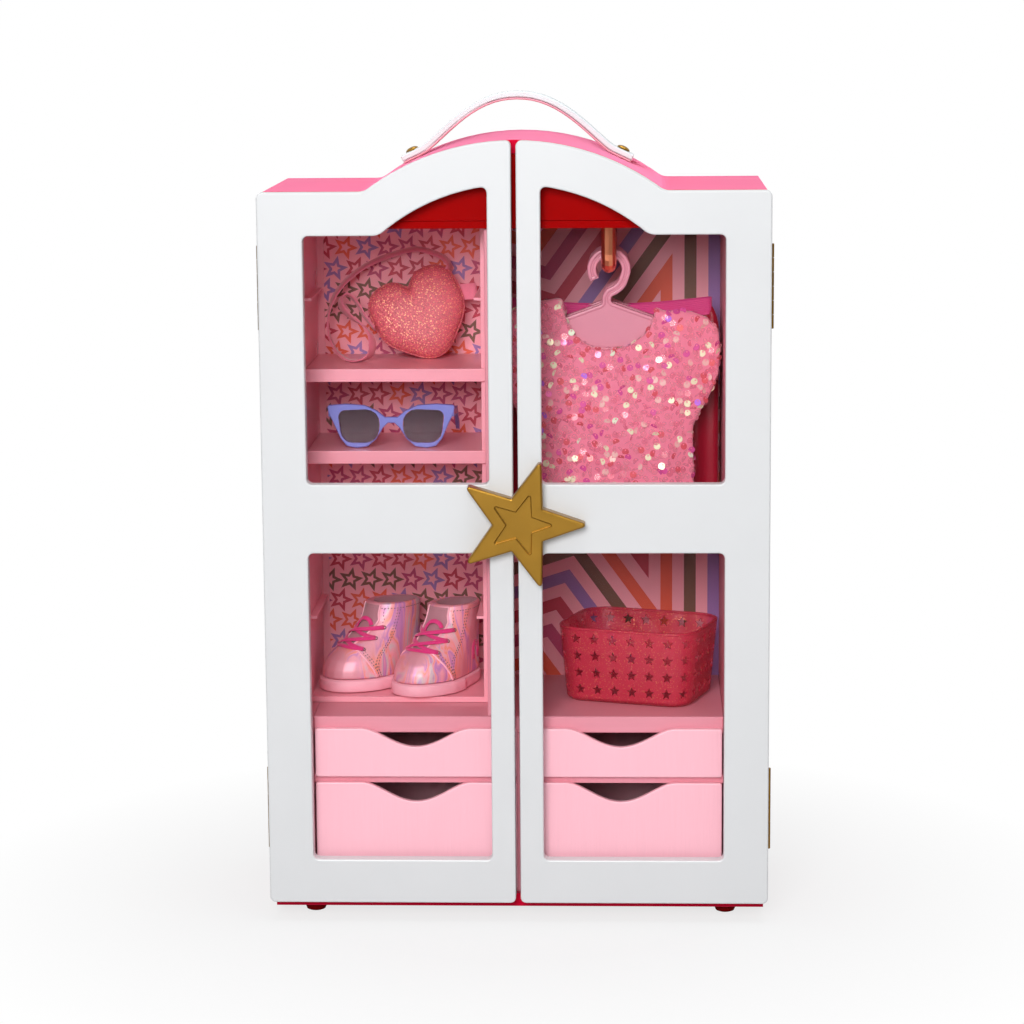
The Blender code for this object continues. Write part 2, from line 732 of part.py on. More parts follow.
def make_shelves(finish):
    """Base shelf, wardrobe divider, and the glued cross frame between the drawers."""
    inner = BAY_SIDE_X - FIT_GAP
    back = PRINT_FACE - FIT_GAP
    shelf_under = FLOOR + DRAWER_BAY_HEIGHT
    shelf = block((-inner, BASE_SHELF_FRONT, shelf_under), (inner, back, BASE_SHELF_TOP), EDGE_ROUND)
    piece("base_shelf", shelf, finish)
    left = -DIVIDER_X - DIVIDER_THICK / 2
    low = (left, BASE_SHELF_FRONT, BASE_SHELF_TOP + FIT_GAP)
    high = (left + DIVIDER_THICK, back, CEILING - FIT_GAP)
    piece("centre_divider", block(low, high, EDGE_ROUND), finish)
    half = DRAWER_DIVIDER_THICK / 2
    high = (half, back, shelf_under - FIT_GAP)
    upright = block((-half, BASE_SHELF_FRONT, FLOOR + FIT_GAP), high)
    middle = LOWER_FRONT_TOP + FRONT_SPACING / 2
    low = (-inner, BASE_SHELF_FRONT, middle - DRAWER_SHELF_THICK / 2)
    board = block(low, (inner, back, middle + DRAWER_SHELF_THICK / 2))
    piece("drawer_frame", united(upright, [board]), finish)


def make_print_panels(finish):
    """The two printed boards at the back of the bays."""
    bottom = FLOOR + FIT_GAP
    top = CEILING + CEILING_THICK
    half_gap = FIT_GAP / 2
    bounds = {"star": (-INNER_SIDE, -DIVIDER_X - half_gap), "stripe": (half_gap - DIVIDER_X, INNER_SIDE)}
    for name, (left, right) in bounds.items():
        board = block((left, PRINT_FACE, bottom), (right, PRINT_BACK, top))
        piece(name + "_print_panel", board, finish)


# Doors

def door_outline(sign):
    """The outline of a door, arched towards the middle of the case."""
    inner = MIDDLE_GAP / 2
    join = ARCH_RADIUS * sin(arch_half_angle(ARCH_RADIUS, ARCH_DROP))
    crown = ARCH_CENTRE + sqrt(ARCH_RADIUS ** 2 - inner ** 2)
    corners = [(inner, DOOR_BOTTOM, DOOR_CORNER), (DOOR_SIDE, DOOR_BOTTOM, DOOR_CORNER)]
    corners += [(DOOR_SIDE, SHOULDER, DOOR_CORNER), (join, SHOULDER, ARCH_FILLET)]
    corners += arch_corners(ARCH_RADIUS, ARCH_DROP, ARCH_CENTRE, 14, inner)
    corners += [(inner, crown, DOOR_CORNER)]
    return mirrored(filleted(corners), sign)


def mirrored(points, sign):
    """An outline of the right-hand side, or its mirror image on the left."""
    return points if sign > 0 else [Vector((-point.x, point.y)) for point in points][::-1]


def window_edges():
    """Low and high x of a window, and the heights of its two openings."""
    inner = MIDDLE_GAP / 2 + INNER_STILE
    outer = DOOR_SIDE - OUTER_STILE
    low = DOOR_BOTTOM + BOTTOM_RAIL
    middle = low + LOWER_WINDOW_HEIGHT
    return inner, outer, low, middle, middle + MIDDLE_RAIL


def lower_window(sign):
    """The outline of a lower window."""
    inner, outer, low, high, _ = window_edges()
    return mirrored(rectangle((inner, low), (outer, high), WINDOW_CORNER), sign)


def upper_window(sign):
    """The outline of an upper window, whose head follows the arch."""
    inner, outer, _, _, low = window_edges()
    radius = ARCH_RADIUS - TOP_RAIL
    high = SHOULDER - TOP_RAIL
    drop = high - ARCH_CENTRE
    join = radius * sin(arch_half_angle(radius, drop))
    crown = ARCH_CENTRE + sqrt(radius ** 2 - inner ** 2)
    corners = [(inner, low, WINDOW_CORNER), (outer, low, WINDOW_CORNER), (outer, high, WINDOW_CORNER)]
    corners += [(join, high, ARCH_FILLET)] + arch_corners(radius, drop, ARCH_CENTRE, 10, inner)
    corners += [(inner, crown, WINDOW_CORNER)]
    return mirrored(filleted(corners), sign)


def make_door(side, sign, parent, finishes):
    """One door frame with its two panes, seated in rebates from behind."""
    step = DOOR_BACK - REBATE_DEPTH
    edge = rounded_depths(DOOR_FRONT, step, DOOR_EDGE_ROUND, 0)
    steps = edge + [(REBATE_WIDTH, step), (REBATE_WIDTH, DOOR_BACK)]
    windows = {"upper": upper_window(sign), "lower": lower_window(sign)}
    depths = rounded_depths(DOOR_FRONT, DOOR_BACK, DOOR_EDGE_ROUND, DOOR_EDGE_ROUND)
    frame = plate(door_outline(sign), depths, [(outline, steps) for outline in windows.values()])
    if sign > 0:
        frame = cut(frame, peg_tools(FIT_GAP))
    piece(side + "_door_frame", frame, finishes["white_paint"], parent, smooth=True)
    front = step + FIT_GAP
    for level, outline in windows.items():
        pane = grown(outline, REBATE_WIDTH - FIT_GAP)
        solid = plate(pane, [(0, front), (0, front + PANE_THICK)])
        piece(side + "_" + level + "_pane", solid, finishes["clear_plastic"], parent)


# Butt hinges

def hinge_leaf(on_door):
    """One leaf of a right-hand hinge about its axis, with every second knuckle."""
    near = LEAF_GAP / 2
    far = near + LEAF_THICK
    flat_end = -KNUCKLE_RADIUS - FIT_GAP
    length = HINGE_LENGTH / 2
    low, high = (-far, -near) if on_door else (near, far)
    flat = rectangle((-LEAF_WIDTH, low), (flat_end, high))
    leaf = plate(flat, [(0, -length), (0, length)], plane=floor_plane)
    pitch = HINGE_LENGTH / KNUCKLE_COUNT
    knuckles = []
    for index in range(0 if on_door else 1, KNUCKLE_COUNT, 2):
        bottom = index * pitch - length
        top = bottom + pitch - FIT_GAP / 2
        knuckles.append(hinge_knuckle(on_door, near, far, bottom + FIT_GAP / 2, top))
    if not on_door:
        knuckles.append(rod(BORE_RADIUS - PIN_GAP, -length, length, (0, 0), 8))
    return united(leaf, knuckles)


def hinge_knuckle(on_door, near, far, low, high):
    """A knuckle and its tongue: bored to turn on the door's leaf, closed on the pin on the case's."""
    start = atan2(-far, -sqrt(KNUCKLE_RADIUS ** 2 - far ** 2))
    end = atan2(-near, -sqrt(KNUCKLE_RADIUS ** 2 - near ** 2)) + 2 * pi
    root = -KNUCKLE_RADIUS - LEAF_THICK
    outline = [Vector((root, -near)), Vector((root, -far))]
    steps = 9
    for step in range(steps + 1):
        turn = start + (end - start) * step / steps
        outline.append(Vector((KNUCKLE_RADIUS * cos(turn), KNUCKLE_RADIUS * sin(turn))))
    depths = [(0, low), (0, high)]
    if on_door:
        return plate(outline, depths, [(circle(BORE_RADIUS, 8), depths)], plane=floor_plane)
    outline = [Vector((point.x, -point.y)) for point in outline][::-1]
    return plate(outline, depths, plane=floor_plane)


def make_hinges(doors, finish):
    """Two butt hinges a side, each with a door leaf, and a case leaf that carries the pin."""
    heights = {"lower": DOOR_BOTTOM + HINGE_INSET, "upper": SHOULDER - HINGE_INSET}
    for side, sign in SIDES:
        for level, height in heights.items():
            place = (HINGE_X, HINGE_Y, height)
            name = side + "_" + level + "_hinge"
            on_door = moved(hinge_leaf(True), place, mirror=sign < 0)
            on_case = moved(hinge_leaf(False), place, mirror=sign < 0)
            piece(name + "_door_leaf", on_door, finish, doors[side], smooth=True)
            piece(name + "_case_leaf", on_case, finish, smooth=True)


# Star latch

def peg_tools(clearance):
    """The two pegs behind the star that pass through the right stile, or their holes."""
    tools = []
    front = DOOR_FRONT - STAR_GAP - PEG_ROOT
    back = DOOR_BACK + CUT_OVERRUN if clearance else DOOR_BACK - PEG_SETBACK
    for sign in (-1, 1):
        centre = (STILE_X, STAR_Z + sign * PEG_SPACING / 2)
        tools.append(rod(PEG_RADIUS + clearance, front, back, centre, 14, front_plane))
    return tools


def make_star(parent, finish):
    """The star latch, which is pegged to the right door and laps over the left one."""
    middle = Vector((STAR_X, STAR_Z))
    outline = [point + middle for point in star_outline(STAR_RADIUS, STAR_VALLEY, STAR_TIP_ROUND)]
    inner = star_outline(STAR_INNER_RADIUS, STAR_INNER_VALLEY, STAR_TIP_ROUND / 2)
    inner = [point + middle for point in inner]
    back = DOOR_FRONT - STAR_GAP
    front = back - STAR_THICK
    bevel = STAR_EDGE_ROUND / 2
    steps = [(bevel, front), (0, front + bevel), (0, front + STAR_RECESS)]
    star = plate(outline, rounded_depths(front, back, STAR_EDGE_ROUND, 0), pockets=[(inner, steps)])
    piece("star_latch", united(star, peg_tools(0)), finish, parent, smooth=True)


# Drawers

def scooped_front(left, right, low, high, scoop_depth):
    """A drawer front with a finger scoop in the middle of its top edge."""
    corners = [(left, low, FRONT_CORNER), (right, low, FRONT_CORNER), (right, high, FRONT_CORNER)]
    centre = (left + right) / 2
    steps = 20
    for step in range(steps + 1):
        share = 1 - 2 * step / steps
        drop = scoop_depth * max(cos(pi * share / 2), 0) ** 1.6
        corners.append((centre + share * SCOOP_HALF_WIDTH, high - drop, 0))
    corners.append((left, high, FRONT_CORNER))
    front = CASE_FRONT + FIT_GAP
    depths = rounded_depths(front, front + FRONT_THICK, FRONT_EDGE_ROUND, 0)
    return plate(filleted(corners), depths)


def tray(left, right, low, high):
    """A drawer box, open at the top, its front end let into the drawer's own front."""
    front = CASE_FRONT + FIT_GAP + FRONT_THICK / 2
    back = PRINT_FACE - TRAY_BACK_GAP
    body = block((left, front, low), (right, back, high))
    inside_low = (left + TRAY_WALL, front - CUT_OVERRUN, low + TRAY_WALL)
    inside_high = (right - TRAY_WALL, back - TRAY_WALL, high + CUT_OVERRUN)
    return cut(body, [block(inside_low, inside_high)])


def make_drawers(finish):
    """Four drawers: two columns, an upper and a lower one in each."""
    shelf_middle = LOWER_FRONT_TOP + FRONT_SPACING / 2
    shelf_half = DRAWER_SHELF_THICK / 2
    upper_low = LOWER_FRONT_TOP + FRONT_SPACING
    ceiling = FLOOR + DRAWER_BAY_HEIGHT - TRAY_HEADROOM
    levels = {
        "upper": (upper_low, UPPER_FRONT_TOP, UPPER_SCOOP_DEPTH,
                  shelf_middle + shelf_half + FIT_GAP, ceiling),
        "lower": (FLOOR + LOWER_FRONT_LIFT, LOWER_FRONT_TOP, LOWER_SCOOP_DEPTH,
                  FLOOR + FIT_GAP, shelf_middle - shelf_half - TRAY_HEADROOM),
    }
    for side, sign in SIDES:
        front_x = sorted((sign * FRONT_CENTRE_GAP / 2, sign * (BAY_SIDE_X - FRONT_SIDE_GAP)))
        inner = DRAWER_DIVIDER_THICK / 2 + TRAY_SIDE_GAP
        tray_x = sorted((sign * inner, sign * (BAY_SIDE_X - TRAY_SIDE_GAP)))
        for level, (low, high, scoop, tray_low, tray_high) in levels.items():
            name = side + "_" + level + "_drawer"
            group = pivot(name + "_slide", (sum(front_x) / 2, CASE_FRONT, low))
            front = scooped_front(*front_x, low, high, scoop)
            box = tray(*tray_x, tray_low, tray_high)
            piece(name, united(box, [front]), finish, group, smooth=True)


# Shelf unit

def ledge_heights():
    """Top faces of the ledges on the unit's walls, from the lowest up."""
    return [UNIT_FLOOR_TOP + (CEILING - UNIT_FLOOR_TOP) * share for share in LEDGE_SHARES]


def make_shelf_unit(finishes):
    """The moulded pink unit: floor, walls, top, back lips, ledges and stop slots."""
    bottom = BASE_SHELF_TOP + FIT_GAP
    top = CEILING - FIT_GAP
    outer = rectangle((UNIT_LEFT, bottom), (UNIT_RIGHT, top))
    inner_left = UNIT_LEFT + UNIT_WALL
    inner_right = UNIT_RIGHT - UNIT_WALL
    inside = rectangle((inner_left, UNIT_FLOOR_TOP), (inner_right, top - UNIT_TOP))
    back = UNIT_BACK
    steps = [(0, UNIT_FRONT), (0, back)]
    unit = plate(outer, steps, [(inside, steps)])
    extras, slots = [], []
    ledge_back = back - LEDGE_BACK_GAP
    sunk = UNIT_WALL / 2
    for wall, inward in ((inner_left, 1), (inner_right, -1)):
        ends = sorted((wall - inward * sunk, wall + inward * UNIT_LIP))
        low = (ends[0], back - UNIT_LIP_THICK, UNIT_FLOOR_TOP - UNIT_FLOOR / 2)
        extras.append(block(low, (ends[1], back, top - UNIT_TOP / 2)))
        for height in ledge_heights():
            low = (ends[0], UNIT_FRONT, height - LEDGE_THICK)
            extras.append(block(low, (ends[1], ledge_back, height)))
            slot = sorted((wall + inward * CUT_OVERRUN, wall - inward * (UNIT_WALL + CUT_OVERRUN)))
            low = (slot[0], ledge_back - SLOT_WIDTH, height + LEDGE_THICK)
            slots.append(block(low, (slot[1], ledge_back, height + LEDGE_THICK + SLOT_HEIGHT)))
    piece("shelf_unit", cut(united(unit, extras), slots), finishes["pink_plastic"])


def make_loose_shelf(name, ledge, finish):
    """A shelf that rests on two ledges and laps over the walls with its front lip."""
    under = ledge + FIT_GAP
    top = under + SHELF_BOARD
    left = UNIT_LEFT + UNIT_WALL + FIT_GAP
    right = UNIT_RIGHT - UNIT_WALL - FIT_GAP
    lip_back = UNIT_FRONT - FIT_GAP
    lip_front = lip_back - SHELF_LIP_THICK
    inner_back = UNIT_BACK - UNIT_LIP_THICK - FIT_GAP
    board = block((left, lip_back - SHELF_LIP_THICK / 2, under), (right, inner_back, top))
    outline = rectangle((UNIT_LEFT, top - SHELF_LIP_HEIGHT), (UNIT_RIGHT, top), SHELF_LIP_ROUND)
    lip = plate(outline, rounded_depths(lip_front, lip_back, SHELF_LIP_THICK / 4, 0))
    piece(name, united(lip, [board]), finish)


def shelf_top(ledge):
    """Top face of a shelf that rests on a ledge."""
    return ledge + FIT_GAP + SHELF_BOARD


# Hanging rail

def pipe(path, radius, sides, across=Vector((1, 0, 0))):
    """A round bar swept along a path that lies square to one direction."""
    rings = []
    for index, point in enumerate(path):
        ahead = path[min(index + 1, len(path) - 1)] - path[max(index - 1, 0)]
        normal = across.cross(ahead).normalized()
        ring = [across * outline.x + normal * outline.y for outline in circle(radius, sides)]
        rings.append([point + spoke for spoke in ring])
    return loft(rings)


def make_rail(finish):
    """The copper rail under the ceiling, bent down from two flanges welded to its ends."""
    back = ROD_FRONT + ROD_LENGTH
    flange_under = CEILING - FIT_GAP - FLANGE_THICK
    top = flange_under + FLANGE_THICK / 2
    corners = [(ROD_FRONT, top, 0), (ROD_FRONT, ROD_Z, ROD_BEND), (back, ROD_Z, ROD_BEND), (back, top, 0)]
    path = [Vector((ROD_X, point.x, point.y)) for point in filleted(corners, 5)]
    flanges = []
    for y in (ROD_FRONT, back):
        depths = rounded_depths(flange_under, flange_under + FLANGE_THICK, FLANGE_THICK / 2, 0)
        flanges.append(plate(circle(FLANGE_RADIUS, 20, (ROD_X, y)), depths, plane=floor_plane))
    piece("garment_rail", united(pipe(path, ROD_RADIUS, 12), flanges), finish, smooth=True)


# Hangers and clothes

def hook_outline():
    """The hook's band: over the rail, down its right side and back to the middle."""
    radius = HOOK_RADIUS
    middle = ROD_RADIUS + HOOK_GAP + HOOK_BAND / 2 - radius
    path = []
    steps = 11
    for step in range(steps + 1):
        turn = radians(215 - 245 * step / steps)
        path.append(Vector((radius * cos(turn), middle + radius * sin(turn))))
    path += bezier(path[-1], (radius * 0.75, -NECK_DROP * 0.62), (0, -NECK_DROP * 0.74), 4)
    path += bezier(path[-1], (-radius * 0.30, -NECK_DROP * 0.86), (0, -NECK_DROP - HOOK_BAND), 3)
    return ribbon_outline(path, HOOK_BAND)


def hanger_body_outline():
    """The filled body of a hanger below its neck, drooping at both shoulders."""
    half = HANGER_HALF_WIDTH
    neck = (HOOK_BAND / 3, -NECK_DROP)
    shoulder = (half, -NECK_DROP - HANGER_SHOULDER_DROP)
    under = (0, -NECK_DROP - HANGER_BODY_DEPTH)
    slope = (half * 0.3, -NECK_DROP - HANGER_SHOULDER_DROP * 0.28)
    belly = (half * 0.62, under[1])
    right = [Vector(neck)] + bezier(neck, slope, shoulder, 6)
    right += bezier(shoulder, (half, shoulder[1] - HOOK_BAND), (half * 0.94, shoulder[1] - HOOK_BAND), 3)
    right += bezier(right[-1], belly, under, 6)
    left = [Vector((-point.x, point.y)) for point in right[:-1]]
    return left + right[::-1]


def hanger(grow=0):
    """A flat moulded hanger about the rail's centre line."""
    depth = HANGER_THICK / 2 + grow
    body = grown(hanger_body_outline(), grow)
    depths = [(0, -depth), (0, depth)]
    body_plate = plate(body, depths)
    if grow:
        return body_plate
    return united(body_plate, [plate(hook_outline(), depths)])


def cloth_ring(half_width, half_depth, height, folds, fold_depth, sides=40):
    """A level slice through hanging cloth, flat in front and behind, with soft folds."""
    ring = []
    for index, point in enumerate(superellipse(half_width, half_depth, 2.6, sides)):
        ripple = fold_depth * cos(folds * 2 * pi * index / sides)
        outward = 1 if point.y > 0 else -1
        flatness = min(abs(point.y) / half_depth, 1)
        ring.append(Vector((point.x, point.y + outward * ripple * flatness, height)))
    return ring


def make_sequin_top(place, finish, parent):
    """A short-sleeved top on the front hanger, open at its neck."""
    levels_shares = ((0, 0.99, 0), (0.2, 1, 0), (0.38, 0.98, 0), (0.43, 0.98, 0.12), (0.53, 1, 0.55),
                     (0.64, 1, 0.92), (0.76, 1, 1), (0.88, 1, 0.95), (0.96, 0.93, 0.75), (1, 0.80, 0.5))
    rings = []
    for height_share, body_share, sleeve_share in levels_shares:
        body = TOP_BODY_HALF_WIDTH * body_share
        width = body + (TOP_SLEEVE_HALF_WIDTH - TOP_BODY_HALF_WIDTH) * sleeve_share
        top_share = max((height_share - 0.8) / 0.2, 0)
        depth = TOP_THICK / 2 * (1 - 0.55 * top_share)
        height = place[2] - TOP_LENGTH * (1 - height_share)
        rings.append(cloth_ring(width, depth, height, 6, FOLD_DEPTH * (1 - height_share)))
    neck = superellipse(NECK_HALF_WIDTH, NECK_DEPTH, 2.2, 24)
    scoop = plate(neck, [(0, -TOP_THICK), (0, TOP_THICK)])
    body = moved(loft(rings), (place[0], place[1], 0))
    scoop = moved(scoop, (place[0], place[1], place[2] + FIT_GAP))
    slot = moved(hanger(CLOTH_GAP), (ROD_X, place[1], ROD_Z))
    piece("sequin_top", cut(body, [scoop, slot]), finish, parent, smooth=True)


def make_skirt(place, finish, parent):
    """A satin skirt whose waistband hangs over the rear hanger."""
    levels_shares = ((0, 1, 1), (0.3, 1, 1), (0.6, 0.9, 1), (0.8, 0.7, 0.8), (0.885, 0.3, 0.5),
                     (0.895, 0, 0), (1, 0, 0))
    rings = []
    for height_share, flare_share, fold_share in levels_shares:
        width = SKIRT_WAIST_HALF_WIDTH + (SKIRT_HEM_HALF_WIDTH - SKIRT_WAIST_HALF_WIDTH) * flare_share
        height = place[2] - SKIRT_LENGTH * (1 - height_share)
        depth = SKIRT_THICK / 2 * (1 if height_share < 0.89 else 0.6)
        rings.append(cloth_ring(width, depth, height, 9, FOLD_DEPTH * fold_share, 48))
    body = moved(loft(rings), (place[0], place[1], 0))
    half_width = HANGER_HALF_WIDTH + CLOTH_GAP
    half_depth = HANGER_THICK / 2 + CLOTH_GAP
    under = ROD_Z - NECK_DROP - HANGER_BODY_DEPTH - CLOTH_GAP
    low = (place[0] - half_width, place[1] - half_depth, under)
    high = (place[0] + half_width, place[1] + half_depth, place[2] + CUT_OVERRUN)
    piece("satin_skirt", cut(body, [block(low, high)]), finish, parent, smooth=True)


def make_hanging(finishes):
    """Three hangers on the rail, two of them with clothes."""
    front_y = ROD_FRONT + FRONT_HANGER_SETBACK
    group = pivot("hanging_clothes", (ROD_X, front_y, ROD_Z))
    rows = [front_y + HANGER_SPACING * index for index in range(3)]
    for name, y in zip(("front_hanger", "middle_hanger", "rear_hanger"), rows):
        piece(name, moved(hanger(), (ROD_X, y, ROD_Z)), finishes["pink_plastic"], group, smooth=True)
    shoulders = ROD_Z - TOP_DROP
    make_sequin_top((ROD_X, rows[0], shoulders), finishes["sequin_cloth"], group)
    make_skirt((ROD_X, rows[2], ROD_Z - SKIRT_DROP), finishes["satin"], group)


# Loose contents

def make_basket(finish):
    """A tapered open basket with round corners."""
    half_x = BASKET_WIDTH / 2
    half_y = BASKET_DEPTH / 2
    rim = rectangle((-half_x, -half_y), (half_x, half_y), BASKET_CORNER, 6)
    foot = grown(rim, -BASKET_TAPER)
    shape = bmesh.new()
    inner_foot = grown(foot, -BASKET_WALL)
    inner_rim = grown(rim, -BASKET_WALL)
    foot_round = BASKET_WALL * 1.5
    rings = [[floor_plane(*point, 0) for point in grown(foot, -foot_round)]]
    rings.append([floor_plane(*point, foot_round) for point in foot])
    rings.append([floor_plane(*point, BASKET_HEIGHT) for point in rim])
    rings.append([floor_plane(*point, BASKET_HEIGHT) for point in inner_rim])
    rings.append([floor_plane(*point, BASKET_WALL + foot_round) for point in inner_foot])
    rings.append([floor_plane(*point, BASKET_WALL) for point in grown(inner_foot, -foot_round)])
    first, last = stack(shape, rings)
    fill(shape, [first])
    fill(shape, [last])
    middle_y = (CASE_FRONT + PRINT_FACE) / 2
    place = (BAY_SIDE_X - BASKET_SIDE_ROOM, middle_y + BASKET_BACK_OFFSET, BASE_SHELF_TOP + FIT_GAP)
    group = pivot("basket_lift", place, (0, 0, radians(BASKET_TURN)))
    local_piece("star_basket", finished(shape), finish, group)


def heart_outline(width, height):
    """A heart with full lobes and a blunt tip, about the middle of its box."""
    notch_share = (0, 0.68, 0.05)
    tip_share = (0, -1.2, 0.60)
    side_shares = ((0.20, 1.05, 0.35), (1.05, 1.05, 0.50), (1.10, -0.15, 0.90))
    mirror_shares = [(-across, up, rounding) for across, up, rounding in side_shares[::-1]]
    points = filleted([notch_share, *side_shares, tip_share, *mirror_shares], 5)
    wide = max(point.x for point in points)
    top = max(point.y for point in points)
    tip = min(point.y for point in points)
    middle = (top + tip) / 2
    across = width / (2 * wide)
    up = height / (top - tip)
    return [Vector((point.x * across, (point.y - middle) * up)) for point in points]


def padded_heart(grow=0):
    """A heart swollen in front and behind, leaning on one lobe's side."""
    outline = grown(heart_outline(HEART_WIDTH, HEART_HEIGHT), grow)
    rings = []
    for step in range(1, 10):
        turn = pi * step / 10
        scale = sin(turn) ** 0.55
        depth = -cos(turn) * (HEART_THICK / 2 + grow)
        rings.append([front_plane(*(point * scale), depth) for point in outline])
    heart = loft(rings)
    heart.transform(Matrix.Rotation(radians(-HEART_LEAN), 4, "Y"))
    return heart


def make_purse(stand, finishes):
    """A padded heart purse that tilts back, its strap looped beside it."""
    heart = padded_heart()
    tilt = Matrix.Rotation(radians(-HEART_TILT), 3, "X")
    lowest = min((tilt @ vertex.co).z for vertex in heart.vertices)
    rise = FIT_GAP - lowest
    place = (UNIT_MIDDLE + HEART_OFFSET, UNIT_BACK - HEART_BACK_ROOM, stand + rise)
    group = pivot("purse_lift", place, (radians(-HEART_TILT), 0, 0))
    local_piece("heart_purse", heart, finishes["glitter_cloth"], group)
    local_piece("purse_strap", purse_strap(FIT_GAP - rise), finishes["pink_leather"], group)


def purse_strap(floor):
    """The wrist strap: from one lobe over and forward to the shelf, and back in a narrow loop."""
    strap_shares = ((0.50, 0.86), (0.57, 1.05), (0.42, 1.22), (0.12, 1.34), (-0.15, 1.38), (-0.48, 1.32),
                    (-0.86, 1.19), (-1.23, 1.02), (-1.55, 0.78), (-1.79, 0.50), (-1.92, 0.20), (-1.97, -0.14),
                    (-1.92, -0.47), (-1.79, -0.75), (-1.60, -0.94), (-1.38, -1.01), (-1.16, -0.96),
                    (-1.04, -0.83), (-1.01, -0.62), (-1.06, -0.42), (-1.24, -0.21), (-1.47, -0.04),
                    (-1.66, 0.14), (-1.72, 0.29), (-1.68, 0.39), (-1.59, 0.43), (-1.48, 0.38), (-1.34, 0.22),
                    (-1.22, 0.02), (-1.08, -0.16), (-0.97, -0.30))
    half = HEART_WIDTH / 2
    lowest_share = min(share[1] for share in strap_shares)
    below = (floor + STRAP_THICK / 2) / lowest_share
    knots = [(across * half, up * (below if up < 0 else half)) for across, up in strap_shares]
    outline = ribbon_outline(smooth_path(knots, 2), STRAP_THICK)
    strap = plate(outline, [(0, -STRAP_WIDTH / 2), (0, STRAP_WIDTH / 2)])
    seat = STRAP_SEAT_SHARE * half
    for vertex in strap.vertices:
        lean = (vertex.co.z - seat) * tan(radians(STRAP_TILT))
        vertex.co.y += seat * tan(radians(HEART_TILT)) + lean
    strap.transform(Matrix.Rotation(radians(HEART_TILT), 4, "X"))
    return cut(strap, [padded_heart(CLOTH_GAP)])


def glasses_outline():
    """The front of a cat-eye frame about its middle, standing on its lower rims."""
    half_shares = ((0.10, 0.70, 0), (0.22, 0.84, 0), (0.42, 0.97, 0), (0.70, 1.00, 0), (1.00, 0.97, 0.03),
                   (0.985, 0.80, 0.05), (0.90, 0.55, 0), (0.80, 0.22, 0), (0.70, 0.04, 0.08), (0.55, 0.00, 0),
                   (0.38, 0.03, 0.06), (0.24, 0.20, 0), (0.13, 0.46, 0), (0.05, 0.57, 0.03))
    half = GLASSES_WIDTH / 2
    corners = []
    for across, up, rounding in half_shares:
        corners.append((across * half, up * GLASSES_HEIGHT, rounding * half))
    left = [(-a, b, radius) for a, b, radius in corners[::-1]]
    return filleted(corners + left, 3)


def lens_outline(sign, grow=0):
    """One lens opening, narrower at its foot."""
    half = LENS_WIDTH / 2
    tall = LENS_HEIGHT / 2
    lens_x = GLASSES_WIDTH * LENS_PLACE_SHARE
    narrow = half * 0.80
    corners = ((-half, tall, LENS_ROUND), (-narrow, -tall, LENS_ROUND),
               (narrow, -tall, LENS_ROUND * 0.9), (half, tall * 0.9, LENS_ROUND * 0.5))
    points = filleted([(a, b, radius) for a, b, radius in corners])
    placed = [Vector((point.x + lens_x, point.y + LENS_RISE)) for point in grown(points, grow)]
    return placed if sign > 0 else [Vector((-point.x, point.y)) for point in placed]


def make_sunglasses(stand, finishes):
    """Cat-eye sunglasses, their arms reaching back to the shelf."""
    half_depth = GLASSES_THICK / 2
    steps = [(0, -half_depth), (0, half_depth)]
    holes = [(lens_outline(sign), steps) for sign in (-1, 1)]
    frame = plate(glasses_outline(), rounded_depths(-half_depth, half_depth, EDGE_ROUND, 0, 1), holes)
    temples = []
    root_z = GLASSES_HEIGHT * 0.86
    for sign in (-1, 1):
        outer = GLASSES_WIDTH / 2 - TEMPLE_THICK / 4
        x = sorted((sign * outer, sign * (outer - TEMPLE_THICK)))
        bend = TEMPLE_HEIGHT
        side = [(0, root_z - TEMPLE_HEIGHT, 0), (TEMPLE_LENGTH * 0.62, root_z - TEMPLE_HEIGHT * 1.6, bend)]
        side += [(TEMPLE_LENGTH, TEMPLE_HEIGHT * 0.6, bend / 3)]
        side += [(TEMPLE_LENGTH, TEMPLE_HEIGHT * 1.8, bend / 3)]
        side += [(TEMPLE_LENGTH * 0.66, root_z - TEMPLE_HEIGHT * 0.6, bend), (0, root_z, 0)]
        temples.append(plate(filleted(side, 3), [(0, x[0]), (0, x[1])], plane=side_plane))
    frame = united(frame, temples)
    place = (UNIT_MIDDLE - GLASSES_OFFSET, UNIT_FRONT + GLASSES_SETBACK, stand + FIT_GAP)
    group = pivot("sunglasses_lift", place)
    local_piece("sunglasses_frame", frame, finishes["lilac_plastic"], group)
    middle = LENS_THICK / 2
    for side, sign in SIDES:
        lens = plate(lens_outline(sign, -FIT_GAP), [(0, -middle), (0, middle)])
        local_piece(side + "_lens", lens, finishes["dark_lens"], group)


def foot_ring(toe, heel, half_width, height, sides=24):
    """A level slice through a boot, the toe towards -Y: the longer it is, the more it narrows to the heel."""
    middle = (toe + heel) / 2
    half_length = (heel - toe) / 2
    narrowing = HEEL_NARROWING_SHARE * (heel - toe) / BOOT_LENGTH
    points = superellipse(half_width, half_length, 2.2, sides)
    ring = []
    for point in points:
        back_share = min(max(point.y / half_length + 0.35, 0), 1)
        waist = 1 - narrowing * back_share ** 2 * (3 - 2 * back_share)
        ring.append(Vector((point.x * waist, point.y + middle, height)))
    return ring


